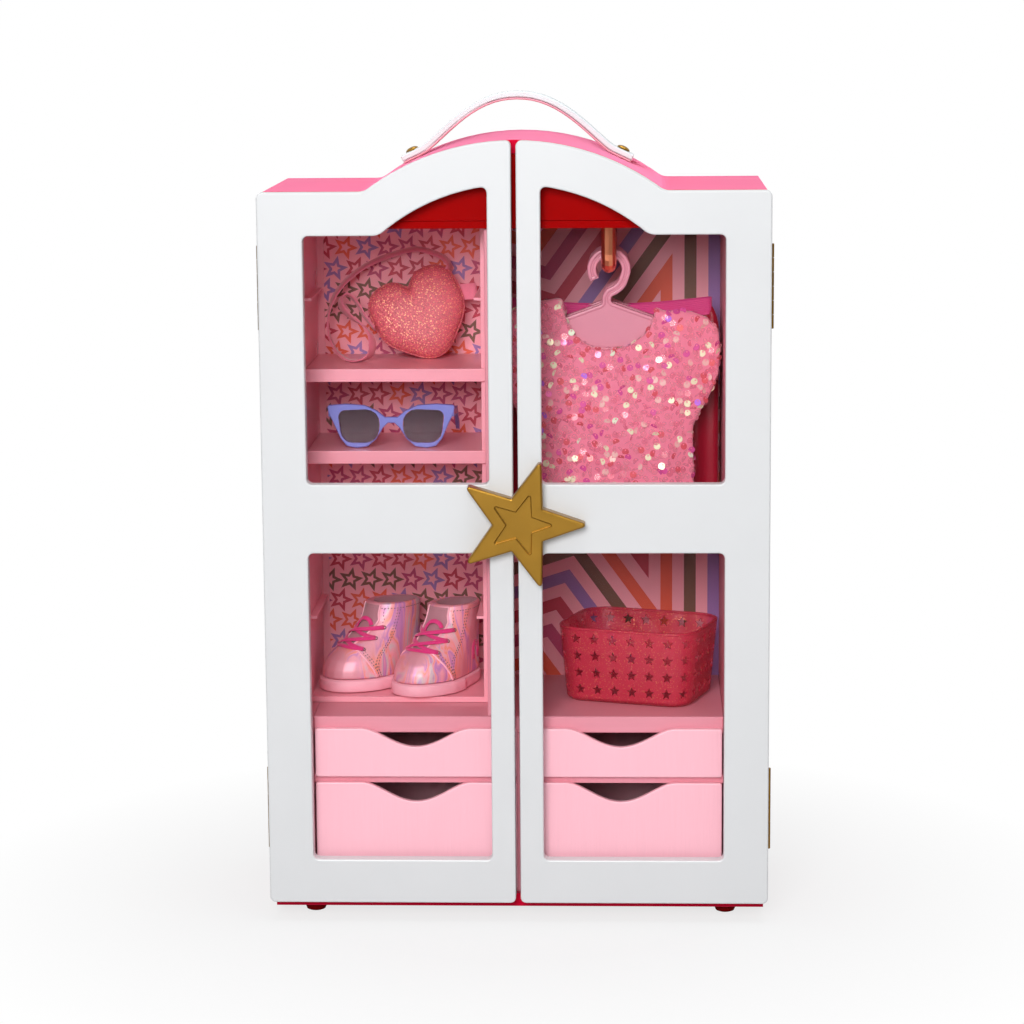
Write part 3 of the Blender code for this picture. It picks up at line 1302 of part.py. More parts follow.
def boot_upper():
    """An ankle boot's upper: long over the foot, short and open at the shaft."""
    half = BOOT_LENGTH / 2
    back = half * 0.97
    levels_shares = ((0, -0.97, 0.94), (0.12, -0.96, 0.95), (0.25, -0.88, 0.91), (0.36, -0.71, 0.84),
                     (0.47, -0.50, 0.77), (0.60, -0.29, 0.72), (0.76, -0.12, 0.69), (1, -0.02, 0.68))
    tall = BOOT_HEIGHT - SOLE_HEIGHT - FIT_GAP
    rings = []
    for height_share, toe_share, width_share in levels_shares:
        height = SOLE_HEIGHT + FIT_GAP + tall * height_share
        rings.append(foot_ring(half * toe_share, back, BOOT_WIDTH / 2 * width_share, height))
    inner_half = SHAFT_WIDTH / 2 - BOOT_WALL
    toe = back - SHAFT_LENGTH + BOOT_WALL
    inner_back = back - BOOT_WALL
    for height in (BOOT_HEIGHT, BOOT_HEIGHT * 0.7, BOOT_CAVITY_FLOOR):
        narrow = inner_half * (0.93 if height == BOOT_HEIGHT else 0.8)
        front = toe + BOOT_WALL * (0 if height == BOOT_HEIGHT else 1)
        rings.append(foot_ring(front, inner_back, narrow, height))
    return loft(rings)


def boot_sole():
    """A cupped rubber sole."""
    half = BOOT_LENGTH / 2
    rings = []
    for height_share, scale in ((0, 0.95), (0.2, 1), (1, 1)):
        reach = half * scale
        rings.append(foot_ring(-reach, reach, BOOT_WIDTH / 2 * scale, SOLE_HEIGHT * height_share))
    return loft(rings)


def make_boots(finishes):
    """A pair of ankle boots on the floor of the unit."""
    places = {"left": (LEFT_BOOT_SHARES, LEFT_BOOT_TURN), "right": (RIGHT_BOOT_SHARES, RIGHT_BOOT_TURN)}
    for side, ((across_share, back_share), turn) in places.items():
        x = UNIT_MIDDLE + UNIT_CLEAR * across_share
        place = (x, UNIT_FRONT + UNIT_DEPTH * back_share, UNIT_FLOOR_TOP + FIT_GAP)
        group = pivot(side + "_boot_lift", place, (0, 0, -radians(turn)))
        local_piece(side + "_boot_upper", boot_upper(), finishes["foil_leather"], group)
        local_piece(side + "_boot_sole", boot_sole(), finishes["rubber"], group)


# Carry handle

def handle_height(x):
    """Height of the handle's seat line: the arch, lifted in the middle for the hand."""
    share = min(abs(x) / HANDLE_SPAN, 1)
    lift = HANDLE_LIFT * (1 - share ** 2.2) ** 1.5
    return ARCH_CENTRE + sqrt(ARCH_RADIUS ** 2 - x ** 2) + lift


def handle_band(low, high):
    """A band of the handle between two distances from its seat line."""
    steps = 30
    seat_line = []
    for step in range(steps + 1):
        x = HANDLE_END * (2 * step / steps - 1)
        seat_line.append(Vector((x, handle_height(x))))
    outline = band_outline(seat_line, low, high)
    front = HANDLE_Y - HANDLE_WIDTH / 2
    back = front + HANDLE_WIDTH
    return plate(outline, rounded_depths(front, back, HANDLE_EDGE_ROUND, HANDLE_EDGE_ROUND, 1))


def rivet_tools(radius, depth):
    """Round tools along the rivets' axes, which point at the arch's centre."""
    tools = []
    turn = asin(RIVET_X / ARCH_RADIUS)
    top = ARCH_RADIUS + LINING_BODY + STRAP_BODY + HANDLE_LIFT
    for sign in (-1, 1):
        tool = rod(radius, ARCH_RADIUS - depth, top, (0, 0), 14)
        tool.transform(rivet_place(sign * turn))
        tools.append(tool)
    return tools


def rivet_place(turn):
    """From a rivet standing on Z to its place on the arch."""
    return Matrix.Translation((0, HANDLE_Y, ARCH_CENTRE)) @ Matrix.Rotation(turn, 4, "Y")


def make_handle(finishes):
    """Strap, lining and the two dome rivets through them."""
    seat = FIT_GAP
    lining_top = seat + LINING_BODY
    strap_low = lining_top + FIT_GAP
    holes = RIVET_SHANK + PIN_GAP
    lining = cut(handle_band(seat, lining_top), rivet_tools(holes, RIVET_DEPTH))
    piece("handle_lining", lining, finishes["pink_leather"], smooth=True)
    strap = cut(handle_band(strap_low, strap_low + STRAP_BODY), rivet_tools(holes, RIVET_DEPTH))
    piece("handle_strap", strap, finishes["white_leather"], smooth=True)
    under = ARCH_RADIUS + strap_low + STRAP_BODY + FIT_GAP
    for side, sign in SIDES:
        rivet = loft(rivet_rings(under))
        rivet.transform(rivet_place(sign * asin(RIVET_X / ARCH_RADIUS)))
        piece(side + "_handle_rivet", rivet, finishes["gold"], smooth=True)


def rivet_rings(under):
    """Rings of a dome-headed rivet, from its tail up."""
    radii = [(RIVET_SHANK, ARCH_RADIUS - RIVET_DEPTH), (RIVET_SHANK, under), (RIVET_HEAD, under)]
    for step in range(1, 5):
        turn = pi / 2 * step / 5
        radii.append((RIVET_HEAD * cos(turn), under + RIVET_DOME * sin(turn)))
    return [[floor_plane(*point, height) for point in circle(radius, 14)] for radius, height in radii]


# The whole closet

def main():
    """Clear the scene and build every piece."""
    for item in list(bpy.data.objects):
        bpy.data.objects.remove(item)
    finishes = make_materials()
    make_case(finishes)
    make_feet(finishes["red_paint"])
    make_liners(finishes["pink_paint"])
    make_shelves(finishes["pink_paint"])
    make_print_panels(finishes["print_paper"])
    doors = {}
    for side, sign in SIDES:
        doors[side] = pivot(side + "_door_axis", (sign * HINGE_X, HINGE_Y, DOOR_BOTTOM))
        make_door(side, sign, doors[side], finishes)
    make_hinges(doors, finishes["gold"])
    make_star(doors["right"], finishes["gold"])
    make_drawers(finishes["pink_paint"])
    make_shelf_unit(finishes)
    ledges = ledge_heights()
    make_loose_shelf("lower_shelf", ledges[2], finishes["pink_plastic"])
    make_loose_shelf("upper_shelf", ledges[3], finishes["pink_plastic"])
    make_rail(finishes["copper"])
    make_hanging(finishes)
    make_basket(finishes["raspberry"])
    make_purse(shelf_top(ledges[3]), finishes)
    make_sunglasses(shelf_top(ledges[2]), finishes)
    make_boots(finishes)
    make_handle(finishes)


main()
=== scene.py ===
"""Dresses the doll closet: paint, prints, metalwork, clothes and the small things in it."""

from math import atan2, cos, pi, radians, sin, sqrt, tau

import bmesh
import bpy
import numpy as np
from bpy.props import FloatProperty, FloatVectorProperty, PointerProperty
from mathutils import Matrix, Vector
from mathutils.bvhtree import BVHTree
from mathutils.kdtree import KDTree


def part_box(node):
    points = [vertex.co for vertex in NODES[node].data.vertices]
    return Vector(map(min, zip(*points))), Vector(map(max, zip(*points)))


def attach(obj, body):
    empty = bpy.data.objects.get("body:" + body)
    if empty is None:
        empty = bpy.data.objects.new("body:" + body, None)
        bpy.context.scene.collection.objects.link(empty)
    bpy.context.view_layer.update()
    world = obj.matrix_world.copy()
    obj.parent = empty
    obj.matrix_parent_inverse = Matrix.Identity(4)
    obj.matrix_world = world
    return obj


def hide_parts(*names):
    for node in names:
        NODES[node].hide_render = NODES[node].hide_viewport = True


bl_info = {
    "name": "Doll closet",
    "version": (1, 0, 0),
    "blender": (4, 5, 0),
    "location": "3D View > Sidebar > Closet",
    "description": "Paint, prints, clothes and small things for the doll closet",
    "category": "Object",
}

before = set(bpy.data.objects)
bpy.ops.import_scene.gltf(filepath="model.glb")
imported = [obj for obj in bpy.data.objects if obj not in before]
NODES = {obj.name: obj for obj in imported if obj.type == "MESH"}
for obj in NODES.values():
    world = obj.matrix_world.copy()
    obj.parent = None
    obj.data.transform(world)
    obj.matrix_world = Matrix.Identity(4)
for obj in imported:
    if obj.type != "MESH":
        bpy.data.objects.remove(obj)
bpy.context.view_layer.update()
SEAM_HOLD = 0.0016  # how near its seam a cushion is held
PUFF_STEPS = 20  # frames that it is blown up for


# Sizes and colours that a user may change

def colour_setting(name, description, default):
    """A colour in the settings."""
    return FloatVectorProperty(name=name, description=description, default=default, subtype="COLOR",
                               size=3, min=0, max=1)


def length_setting(name, description, default):
    """A length in metres in the settings."""
    return FloatProperty(name=name, description=description, default=default, min=0, unit="LENGTH",
                         subtype="DISTANCE", precision=5)


class StageSettings(bpy.types.PropertyGroup):
    """The floor, the backdrop and the lamps."""
    floor_reach: length_setting("Floor reach", "How far the shaded floor reaches before it fades to white", 0.45)
    daylight: FloatProperty(name="Daylight", description="Strength of the light from all round",
                            default=0.22, min=0)
    front_power: FloatProperty(name="Front light", description="Power of the large front light",
                               default=43.0, min=0, unit="POWER")
    top_power: FloatProperty(name="Top light", description="Power of the light over the closet",
                             default=17.0, min=0, unit="POWER")


class CaseSettings(bpy.types.PropertyGroup):
    """The case, its doors and its metalwork."""
    case_red: colour_setting("Case", "Satin paint on the case", (0.60, 0.004, 0.030))
    # A darker red than the case's: painted shade under the arch, used on the fascia, the ceiling panel and the feet.
    fascia_shaded_red: colour_setting("Fascia", "Paint on the fascia and the feet", (0.34, 0.0, 0.0))
    graze: colour_setting("Case at a low angle", "Tint of the case where it is seen at a low angle",
                          (1.0, 0.345, 0.575))
    door_white: colour_setting("Doors", "Satin paint on the doors", (0.635, 0.645, 0.655))
    board_pink: colour_setting("Boards", "Paint on the inner boards", (0.76, 0.275, 0.345))
    drawer_pink: colour_setting("Drawers", "Paint on the drawers", (0.97, 0.50, 0.585))
    gold: colour_setting("Gold", "Latch, hinges and rivets", (0.32, 0.172, 0.027))
    copper: colour_setting("Copper", "Hanging rail", (1.0, 0.31, 0.16))
    strap_white: colour_setting("Handle", "Leather on top of the handle", (0.72, 0.78, 0.81))
    strap_pink: colour_setting("Handle lining", "Leather under the handle", (0.82, 0.36, 0.45))
    screw_radius: length_setting("Screw heads", "Radius of the hinge screws' heads", 0.0017)


class PrintSettings(bpy.types.PropertyGroup):
    """The printed panels at the back."""
    paper: colour_setting("Paper", "Ground of both prints", (0.98, 0.37, 0.45))
    orange: colour_setting("Orange", "First ink", (0.80, 0.098, 0.045))
    raspberry: colour_setting("Raspberry", "Second ink", (0.56, 0.030, 0.072))
    plum: colour_setting("Plum", "Third ink", (0.52, 0.045, 0.150))
    olive: colour_setting("Olive", "Fourth ink", (0.19, 0.075, 0.045))
    violet: colour_setting("Violet", "Fifth ink", (0.32, 0.155, 0.42))
    star_radius: length_setting("Star radius", "From the middle of a small star to its tip", 0.0090)
    star_pitch: length_setting("Star pitch", "From one small star to the next", 0.0144)
    stripe_width: length_setting("Stripe width", "Width of a printed stripe", 0.0082)


class MouldingSettings(bpy.types.PropertyGroup):
    """Plastic pieces: the shelf unit, the hangers and the basket."""
    unit_pink: colour_setting("Shelf unit", "Moulded plastic of the shelf unit", (0.92, 0.36, 0.44))
    hanger_pink: colour_setting("Hangers", "Moulded plastic of the hangers", (0.70, 0.25, 0.34))
    basket_raspberry: colour_setting("Basket", "Clear glitter plastic of the basket", (0.72, 0.040, 0.085))
    hole_radius: length_setting("Star holes", "Radius of the basket's star holes", 0.0040)
    rim_radius: length_setting("Hanger rim", "Half the width of the rim round a hanger", 0.0013)


class ClothesSettings(bpy.types.PropertyGroup):
    """The sequin top and the satin skirt."""
    net: colour_setting("Net", "Cloth under the sequins", (1.0, 0.25, 0.38))
    sequin_radius: length_setting("Sequin radius", "Radius of one sequin", 0.0023)
    sequin_spacing: length_setting("Sequin spacing", "Least distance between two sequins", 0.0030)
    satin: colour_setting("Satin", "Cloth of the skirt", (0.30, 0.001, 0.017))
    elastic: colour_setting("Waistband", "Elastic at the skirt's waist", (0.74, 0.050, 0.24))
    fold_depth: length_setting("Fold depth", "Depth of the skirt's folds at the hem", 0.0019)


class SmallThingsSettings(bpy.types.PropertyGroup):
    """The purse, the sunglasses and the boots."""
    glitter: colour_setting("Glitter cloth", "Cloth of the heart purse", (0.64, 0.110, 0.145))
    ribbon: colour_setting("Ribbon", "The purse's wrist strap", (0.82, 0.20, 0.30))
    lilac: colour_setting("Frame", "Plastic of the sunglasses", (0.22, 0.24, 0.66))
    smoke: colour_setting("Lenses", "Tint of the lenses", (0.045, 0.016, 0.028))
    foil: colour_setting("Foil leather", "Main colour of the boots", (0.98, 0.44, 0.53))
    lace: colour_setting("Laces", "Colour of the laces", (0.80, 0.03, 0.22))
    rubber: colour_setting("Soles", "Rubber of the soles", (0.93, 0.44, 0.53))
    lace_width: length_setting("Lace width", "Width of a lace", 0.0030)
    boot_turn: FloatVectorProperty(name="Boot turns", description="How far each boot points to the left",
                                   default=(radians(50), radians(36)), size=2, subtype="EULER", unit="ROTATION")


SETTINGS = {
    "closet_stage": StageSettings,
    "closet_case": CaseSettings,
    "closet_prints": PrintSettings,
    "closet_mouldings": MouldingSettings,
    "closet_clothes": ClothesSettings,
    "closet_small_things": SmallThingsSettings,
}


# Finishes

def feed(node, inputs):
    """Gives each of a node's inputs a value or joins it to another node's socket."""
    for key, value in inputs.items():
        if isinstance(value, bpy.types.NodeSocket):
            node.id_data.links.new(value, node.inputs[key])
        else:
            node.inputs[key].default_value = value


def add_node(tree, kind, inputs=None, **settings):
    """A new shader node with its settings and inputs."""
    node = tree.nodes.new("ShaderNode" + kind)
    for key, value in settings.items():
        setattr(node, key, value)
    feed(node, inputs or {})
    return node


def new_finish(name, colour, roughness, metallic=0.0, **settings):
    """A finish with its shader's own values, and the shader."""
    finish = bpy.data.materials.new(name)
    finish.use_nodes = True
    finish.diffuse_color = (*colour, 1)
    shader = finish.node_tree.nodes["Principled BSDF"]
    feed(shader, {"Base Color": (*colour, 1), "Roughness": roughness, "Metallic": metallic})
    feed(shader, {key.replace("_", " "): value for key, value in settings.items()})
    return finish, shader


def pattern(shader, kind, inputs, stretch=(1, 1, 1), **settings):
    """The outputs of a pattern that keeps its place on the piece, finer along the axes that are stretched."""
    place = add_node(shader.id_data, "TexCoord").outputs["Object"]
    spread = add_node(shader.id_data, "Mapping", {"Vector": place, "Scale": stretch}).outputs["Vector"]
    return add_node(shader.id_data, "Tex" + kind, {"Vector": spread, **inputs}, **settings).outputs


def noise(shader, scale, detail, stretch=(1, 1, 1), **inputs):
    """A cloudy pattern."""
    return pattern(shader, "Noise", {"Scale": scale, "Detail": detail, **inputs}, stretch)["Fac"]


def cells(shader, scale, **inputs):
    """Small cells, each with its own colour and the distance from its middle."""
    return pattern(shader, "Voronoi", {"Scale": scale, **inputs})


def threads(shader, scale, direction="X"):
    """Even threads that follow each other in one direction."""
    return pattern(shader, "Wave", {"Scale": scale}, bands_direction=direction)["Fac"]


def ranged(socket, low, high, start=0.0, end=1.0):
    """The socket's values from start to end, turned into values from low to high."""
    inputs = {"Value": socket, "From Min": start, "From Max": end, "To Min": low, "To Max": high}
    return add_node(socket.id_data, "MapRange", inputs).outputs["Result"]


def ramped(socket, stops, interpolation="LINEAR"):
    """A colour for each value of the socket, from (position, colour) stops."""
    node = add_node(socket.id_data, "ValToRGB", {"Fac": socket})
    node.color_ramp.interpolation = interpolation
    elements = node.color_ramp.elements
    while len(elements) < len(stops):
        elements.new(1)
    for element, (position, colour) in zip(elements, stops):
        element.position = position
        element.color = (*colour, 1)
    return node.outputs["Color"]


def joined(operation, first, second):
    """Two sockets' values worked into one."""
    return add_node(first.id_data, "Math", {0: first, 1: second}, operation=operation).outputs["Value"]


def seen_by_camera(tree):
    """One where the camera looks, straight or through something clear, and nought elsewhere."""
    path = add_node(tree, "LightPath").outputs
    return joined("MAXIMUM", path["Is Camera Ray"], path["Is Transmission Ray"])


def share_along(tree, axis):
    """How far along one axis of the whole a place lies."""
    place = add_node(tree, "TexCoord").outputs["Generated"]
    return add_node(tree, "SeparateXYZ", {"Vector": place}).outputs[axis]


def shaded(colour, share):
    """A colour made darker or lighter by a share."""
    return tuple(min(channel * share, 1) for channel in colour)


def varied(shader, socket, colour, spread, rough=None):
    """The colour a little darker and lighter along a pattern, and the roughness within a range."""
    stops = [(0, shaded(colour, 1 - spread)), (1, shaded(colour, 1 + spread))]
    feed(shader, {"Base Color": ramped(socket, stops)})
    if rough:
        feed(shader, {"Roughness": ranged(socket, *rough)})


def raised(shader, socket, strength, distance):
    """Bumps along a pattern, over any that the shader has."""
    inputs = {"Strength": strength, "Distance": distance, "Height": socket}
    if shader.inputs["Normal"].is_linked:
        inputs["Normal"] = shader.inputs["Normal"].links[0].from_socket
    feed(shader, {"Normal": add_node(shader.id_data, "Bump", inputs).outputs["Normal"]})


def tilted(colours, amount):
    """Normals that lean a different way in each cell of a pattern."""
    def vectors(operation, inputs):
        return add_node(colours.id_data, "VectorMath", inputs, operation=operation).outputs["Vector"]

    centred = vectors("SUBTRACT", {0: colours, 1: (0.5, 0.5, 0.5)})
    leaning = vectors("SCALE", {0: centred, "Scale": amount})
    flat = add_node(colours.id_data, "NewGeometry").outputs["Normal"]
    return vectors("NORMALIZE", {0: vectors("ADD", {0: leaning, 1: flat})})


def satin_paint(name, colour, graze=None, gloss=0.5):
    """Sprayed satin paint: a faint orange peel and slightly uneven gloss."""
    finish, shader = new_finish(name, colour, 0.4, Specular_IOR_Level=gloss, Coat_Weight=0.3 * gloss,
                                Coat_Roughness=0.25)
    varied(shader, noise(shader, 26, 3), colour, 0.02, rough=(0.34, 0.46))
    raised(shader, noise(shader, 900, 2), 0.06, 0.0001)
    if graze:
        feed(shader, {"Sheen Weight": 1.0, "Sheen Roughness": 0.35, "Sheen Tint": (*graze, 1)})
    return finish


def grained_paint(name, colour, upright):
    """Thin paint on board, with the wood's fine lines showing through."""
    finish, shader = new_finish(name, colour, 0.42)
    grain = noise(shader, 1300, 4, (1, 1, 0.03) if upright else (0.03, 1, 1), Roughness=0.6)
    varied(shader, ranged(grain, 0, 1, 0.3, 0.7), colour, 0.025)
    feed(shader, {"Roughness": ranged(noise(shader, 18, 2), 0.36, 0.5)})
    raised(shader, grain, 0.08, 0.0002)
    return finish


def moulded_plastic(name, colour, roughness):
    """Injection-moulded plastic with a faint flow pattern."""
    finish, shader = new_finish(name, colour, roughness, Subsurface_Weight=0.06, Subsurface_Scale=0.002,
                                Subsurface_Radius=(1, 0.5, 0.5))
    flow = noise(shader, 35, 3, Distortion=0.6)
    varied(shader, flow, colour, 0.03, rough=(roughness * 0.8, roughness * 1.3))
    raised(shader, noise(shader, 1500, 1), 0.05, 0.0001)
    return finish


def cast_metal(name, colour, roughness):
    """Plated metal with a fine cast grain and softly uneven gloss."""
    finish, shader = new_finish(name, colour, roughness, metallic=1.0)
    varied(shader, noise(shader, 60, 3), colour, 0.10, rough=(roughness * 0.75, roughness * 1.3))
    raised(shader, noise(shader, 1600, 3), 0.12, 0.0001)
    return finish


def printed_paper(name, colour):
    """Ink or paper on the back panels, with the paper's tooth."""
    finish, shader = new_finish(name, colour, 0.5)
    tooth = noise(shader, 1400, 3)
    varied(shader, tooth, colour, 0.05)
    raised(shader, tooth, 0.05, 0.0001)
    return finish


def grained_leather(name, colour, roughness=0.5):
    """Leather with small pebbled cells."""
    finish, shader = new_finish(name, colour, roughness)
    varied(shader, noise(shader, 45, 3), colour, 0.03)
    raised(shader, cells(shader, 1300)["Distance"], 0.25, 0.0002)
    return finish


def woven_cloth(name, colour, fineness, roughness=0.6, sheen=0.3, directions="XZ"):
    """Cloth with threads that follow each other in one or two directions."""
    finish, shader = new_finish(name, colour, roughness, Sheen_Weight=sheen, Sheen_Roughness=0.4)
    varied(shader, noise(shader, 60, 3), colour, 0.08)
    for direction in directions:
        raised(shader, threads(shader, fineness, direction), 0.35, 0.0003)
    return finish


def satin_cloth(name, colour):
    """Smooth cloth with a soft sheen, and upright streaks of painted sheen in its colour."""
    finish, shader = new_finish(name, colour, 0.30, Sheen_Weight=0.4, Sheen_Roughness=0.3)
    # Upright lighter and darker streaks: painted sheen.
    varied(shader, noise(shader, 30, 2, (1, 1, 0.4)), colour, 0.22)
    raised(shader, threads(shader, 1800), 0.12, 0.0001)
    return finish


def clear_pane(name):
    """A clear plastic pane that hazes a little and shines at a low angle."""
    finish, shader = new_finish(name, (0.10, 0.05, 0.06), 0.10)
    haze = ranged(noise(shader, 14, 3), 0.008, 0.020)
    edge = add_node(finish.node_tree, "LayerWeight", {"Blend": 0.5}).outputs["Facing"]
    feed(shader, {"Alpha": joined("MAXIMUM", haze, ranged(edge, 0.0, 0.35, 0.60, 1.0))})
    return finish


def glitter(name, colour, spark, scale, share, roughness, alpha=1.0, grain=0.0):
    """A sandy ground with bright flecks, each tilted its own way."""
    finish, shader = new_finish(name, colour, roughness, Coat_Weight=0.05, Coat_Roughness=0.2, Alpha=alpha)
    flecks = cells(shader, scale)["Color"]
    red = add_node(finish.node_tree, "SeparateColor", {"Color": flecks}).outputs["Red"]
    stops = [(0, shaded(colour, 1 - grain)), (0.99 - share, shaded(colour, 1 + grain)), (1 - share, spark)]
    feed(shader, {"Base Color": ramped(red, stops), "Metallic": ranged(red, 0, 0.85, 1 - share, 1.02 - share),
                  "Normal": tilted(flecks, 0.35)})
    return finish


def sequin_film(name):
    """Thin shiny discs: most of them clear pink, some coral or violet; the cream and near-white ones are painted
    glints, standing for discs that catch a lamp.
    """
    finish, shader = new_finish(name, (0.9, 0.3, 0.4), 0.22, metallic=0.1, Coat_Weight=0.5, Coat_Roughness=0.08,
                                Thin_Film_Thickness=420, Thin_Film_IOR=1.4)
    tone = add_node(finish.node_tree, "Attribute", attribute_name="tone").outputs["Fac"]
    clear_pink, rose = (1.0, 0.36, 0.46), (0.97, 0.24, 0.37)
    coral, orchid = (0.90, 0.13, 0.17), (0.86, 0.12, 0.42)
    # The cream and the near-white tones are painted glints: discs that would catch a lamp.
    blush, glint_cream, glint_mint, violet = (1.0, 0.58, 0.56), (1.0, 0.94, 0.66), (0.92, 1.0, 0.78), (0.62, 0.22, 0.95)
    stops = [(0, clear_pink), (0.40, rose), (0.68, coral), (0.77, orchid), (0.84, blush), (0.92, glint_cream),
             (0.975, glint_mint), (0.985, violet)]
    feed(shader, {"Base Color": ramped(tone, stops, "CONSTANT"), "Alpha": ranged(tone, 0.30, 1.0, 0.55, 0.88)})
    return finish


def foil_leather(name, colour):
    """Soft leather under a foil: bands of painted iridescent reflection, from pink to lilac, orange and a pale tone,
    over the leather painted a little darker between them.
    """
    finish, shader = new_finish(name, colour, 0.50, metallic=0.3, Coat_Weight=0.12, Coat_Roughness=0.42)
    lilac, orange, glint_mint = (0.62, 0.27, 0.62), (0.96, 0.34, 0.24), (0.74, 0.62, 0.62)
    stops = [(0.0, colour), (0.36, colour), (0.43, lilac), (0.48, shaded(colour, 1.05)), (0.52, orange),
             (0.57, colour), (0.62, glint_mint), (0.67, lilac), (0.74, colour)]
    # Painted reflection: fixed bands that stand for the foil's shifting iridescent colours.
    bands = ramped(noise(shader, 42, 2, (1.7, 1.4, 0.40), Distortion=1.2), stops)
    reflection_share = ranged(noise(shader, 30, 1, (1.2, 1, 0.7)), 0, 1, 0.42, 0.56)
    foil = add_node(finish.node_tree, "Mix", {"Factor": reflection_share, "A": (*shaded(colour, 0.82), 1), "B": bands},
                    data_type="RGBA")
    feed(shader, {"Base Color": foil.outputs["Result"]})
    raised(shader, noise(shader, 260, 3), 0.12, 0.0004)
    return finish


def dimpled_rubber(name, colour):
    """Soft rubber with rows of small dimples."""
    finish, shader = new_finish(name, colour, 0.55)
    varied(shader, noise(shader, 50, 2), colour, 0.03)
    raised(shader, cells(shader, 900, Randomness=0)["Distance"], 0.25, 0.0004)
    return finish


def smoked_lens(name, colour):
    """A dark glossy lens, clearer towards its foot."""
    finish, shader = new_finish(name, colour, 0.05, Coat_Weight=1.0, Coat_Roughness=0.02)
    height = share_along(finish.node_tree, "Z")
    stops = [(0, shaded(colour, 1.9)), (1, colour)]
    feed(shader, {"Alpha": ranged(height, 0.72, 0.93), "Base Color": ramped(height, stops)})
    return finish


def ending_in(ending):
    """The names of the CAD nodes with this ending."""
    return [name for name in NODES if name.endswith(ending)]


def paint_nodes(finish, *names):
    """Gives CAD nodes a finish and leaves their shape alone."""
    for name in names:
        slots = NODES[name].data.materials
        slots.clear()
        slots.append(finish)


# Making pieces

def new_object(name, shape):
    """An object from a shape, which it uses up."""
    mesh = bpy.data.meshes.new(name)
    shape.to_mesh(mesh)
    shape.free()
    made = bpy.data.objects.new(name, mesh)
    bpy.context.scene.collection.objects.link(made)
    return made


def placed_piece(name, shape, finishes, body, node=None, smooth=True):
    """A piece from a shape in the closet's own place, riding on a body; it may stand for a CAD node."""
    bmesh.ops.recalc_face_normals(shape, faces=shape.faces)
    piece = new_object(name, shape)
    for finish in finishes if isinstance(finishes, list) else [finishes]:
        piece.data.materials.append(finish)
    piece.data.polygons.foreach_set("use_smooth", [smooth] * len(piece.data.polygons))
    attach(piece, body)
    if node:
        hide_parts(node)
    return piece


def solid_of(node, matrix=None):
    """The shape of a CAD node, welded at its edges."""
    shape = bmesh.new()
    shape.from_mesh(NODES[node].data)
    bmesh.ops.remove_doubles(shape, verts=shape.verts, dist=1e-6)
    if matrix:
        shape.transform(matrix)
    return shape


def worked(shape, *modifiers):
    """A shape with modifiers worked in, each given as (type, settings)."""
    holder = new_object("work", shape)
    for kind, settings in modifiers:
        modifier = holder.modifiers.new(kind, kind)
        for key, value in settings.items():
            setattr(modifier, key, value)
    graph = bpy.context.evaluated_depsgraph_get()
    result = bpy.data.meshes.new_from_object(holder.evaluated_get(graph))
    made = bmesh.new()
    made.from_mesh(result)
    for mesh in (result, holder.data):
        bpy.data.meshes.remove(mesh)
    return made


def refined(node, cell, rounds, matrix=None):
    """A CAD node's shape in small even cells, smoothed."""
    return worked(solid_of(node, matrix), ("REMESH", {"mode": "VOXEL", "voxel_size": cell}),
                  ("SMOOTH", {"iterations": rounds, "factor": 0.5}))


def around(count):
    """Even angles for one turn."""
    return [tau * step / count for step in range(count)]


def round_section(radius, sides=8):
    """A round section."""
    return [(radius * cos(angle), radius * sin(angle)) for angle in around(sides)]


def flat_section(width, thick):
    """A flat section with softened edges."""
    across, up = width / 2, thick / 2
    half = [(across - up, -up), (across, -up * 0.3), (across, up * 0.3), (across - up, up)]
    return half + [(-a, -b) for a, b in half]


def skin(shape, lines, closed=True):
    """Faces between each line of corners and the next."""
    made = []
    for one, two in zip(lines, lines[1:]):
        for step in range(len(one) if closed else len(one) - 1):
            beside = (step + 1) % len(one)
            made.append(shape.faces.new((one[step], one[beside], two[beside], two[step])))
    return made


def sweep(shape, points, normals, section, closed=False, scales=None):
    """Sweeps a section along points; its second axis follows the normals."""
    rings, count = [], len(points)
    for index, point in enumerate(points):
        before = points[index - 1] if index or closed else point
        after = points[(index + 1) % count] if index + 1 < count or closed else point
        along = (after - before).normalized()
        normal = normals if isinstance(normals, Vector) else normals[index]
        out = (normal - along * normal.dot(along)).normalized()
        across = along.cross(out)
        scale = scales[index] if scales else 1
        rings.append([shape.verts.new(point + (across * a + out * b) * scale) for a, b in section])
    skin(shape, rings + rings[:1] if closed else rings)
    if not closed:
        shape.faces.new(rings[0][::-1])
        shape.faces.new(rings[-1])


def evenly(points, pitch, closed=False):
    """Points at an even distance along a line of points."""
    line = list(points) + ([points[0]] if closed else [])
    lengths = [0]
    for one, two in zip(line, line[1:]):
        lengths.append(lengths[-1] + (two - one).length)
    steps = max(int(round(lengths[-1] / pitch)), 1)
    made, index = [], 0
    for step in range(steps + (0 if closed else 1)):
        target = lengths[-1] * step / steps
        while index + 2 < len(line) and lengths[index + 1] < target:
            index += 1
        span = lengths[index + 1] - lengths[index]
        share = (target - lengths[index]) / span if span else 0
        made.append(line[index].lerp(line[index + 1], share))
    return made


def evened(points):
    """A closed line with each point drawn halfway towards its neighbours."""
    return [(points[index - 1] + point * 2 + points[(index + 1) % len(points)]) / 4
            for index, point in enumerate(points)]


def curve_through(points, steps=6, closed=False):
    """A smooth line through points."""
    count = len(points)
    made = []
    for index in range(count if closed else count - 1):
        near = range(index - 1, index + 3)
        a, b, c, d = [points[at % count] if closed else points[min(max(at, 0), count - 1)] for at in near]
        for step in range(steps):
            t = step / steps
            made.append((b * 2 + (c - a) * t + (a * 2 - b * 5 + c * 4 - d) * t * t
                         + (b * 3 - a - c * 3 + d) * t * t * t) / 2)
    if not closed:
        made.append(points[-1].copy())
    return made


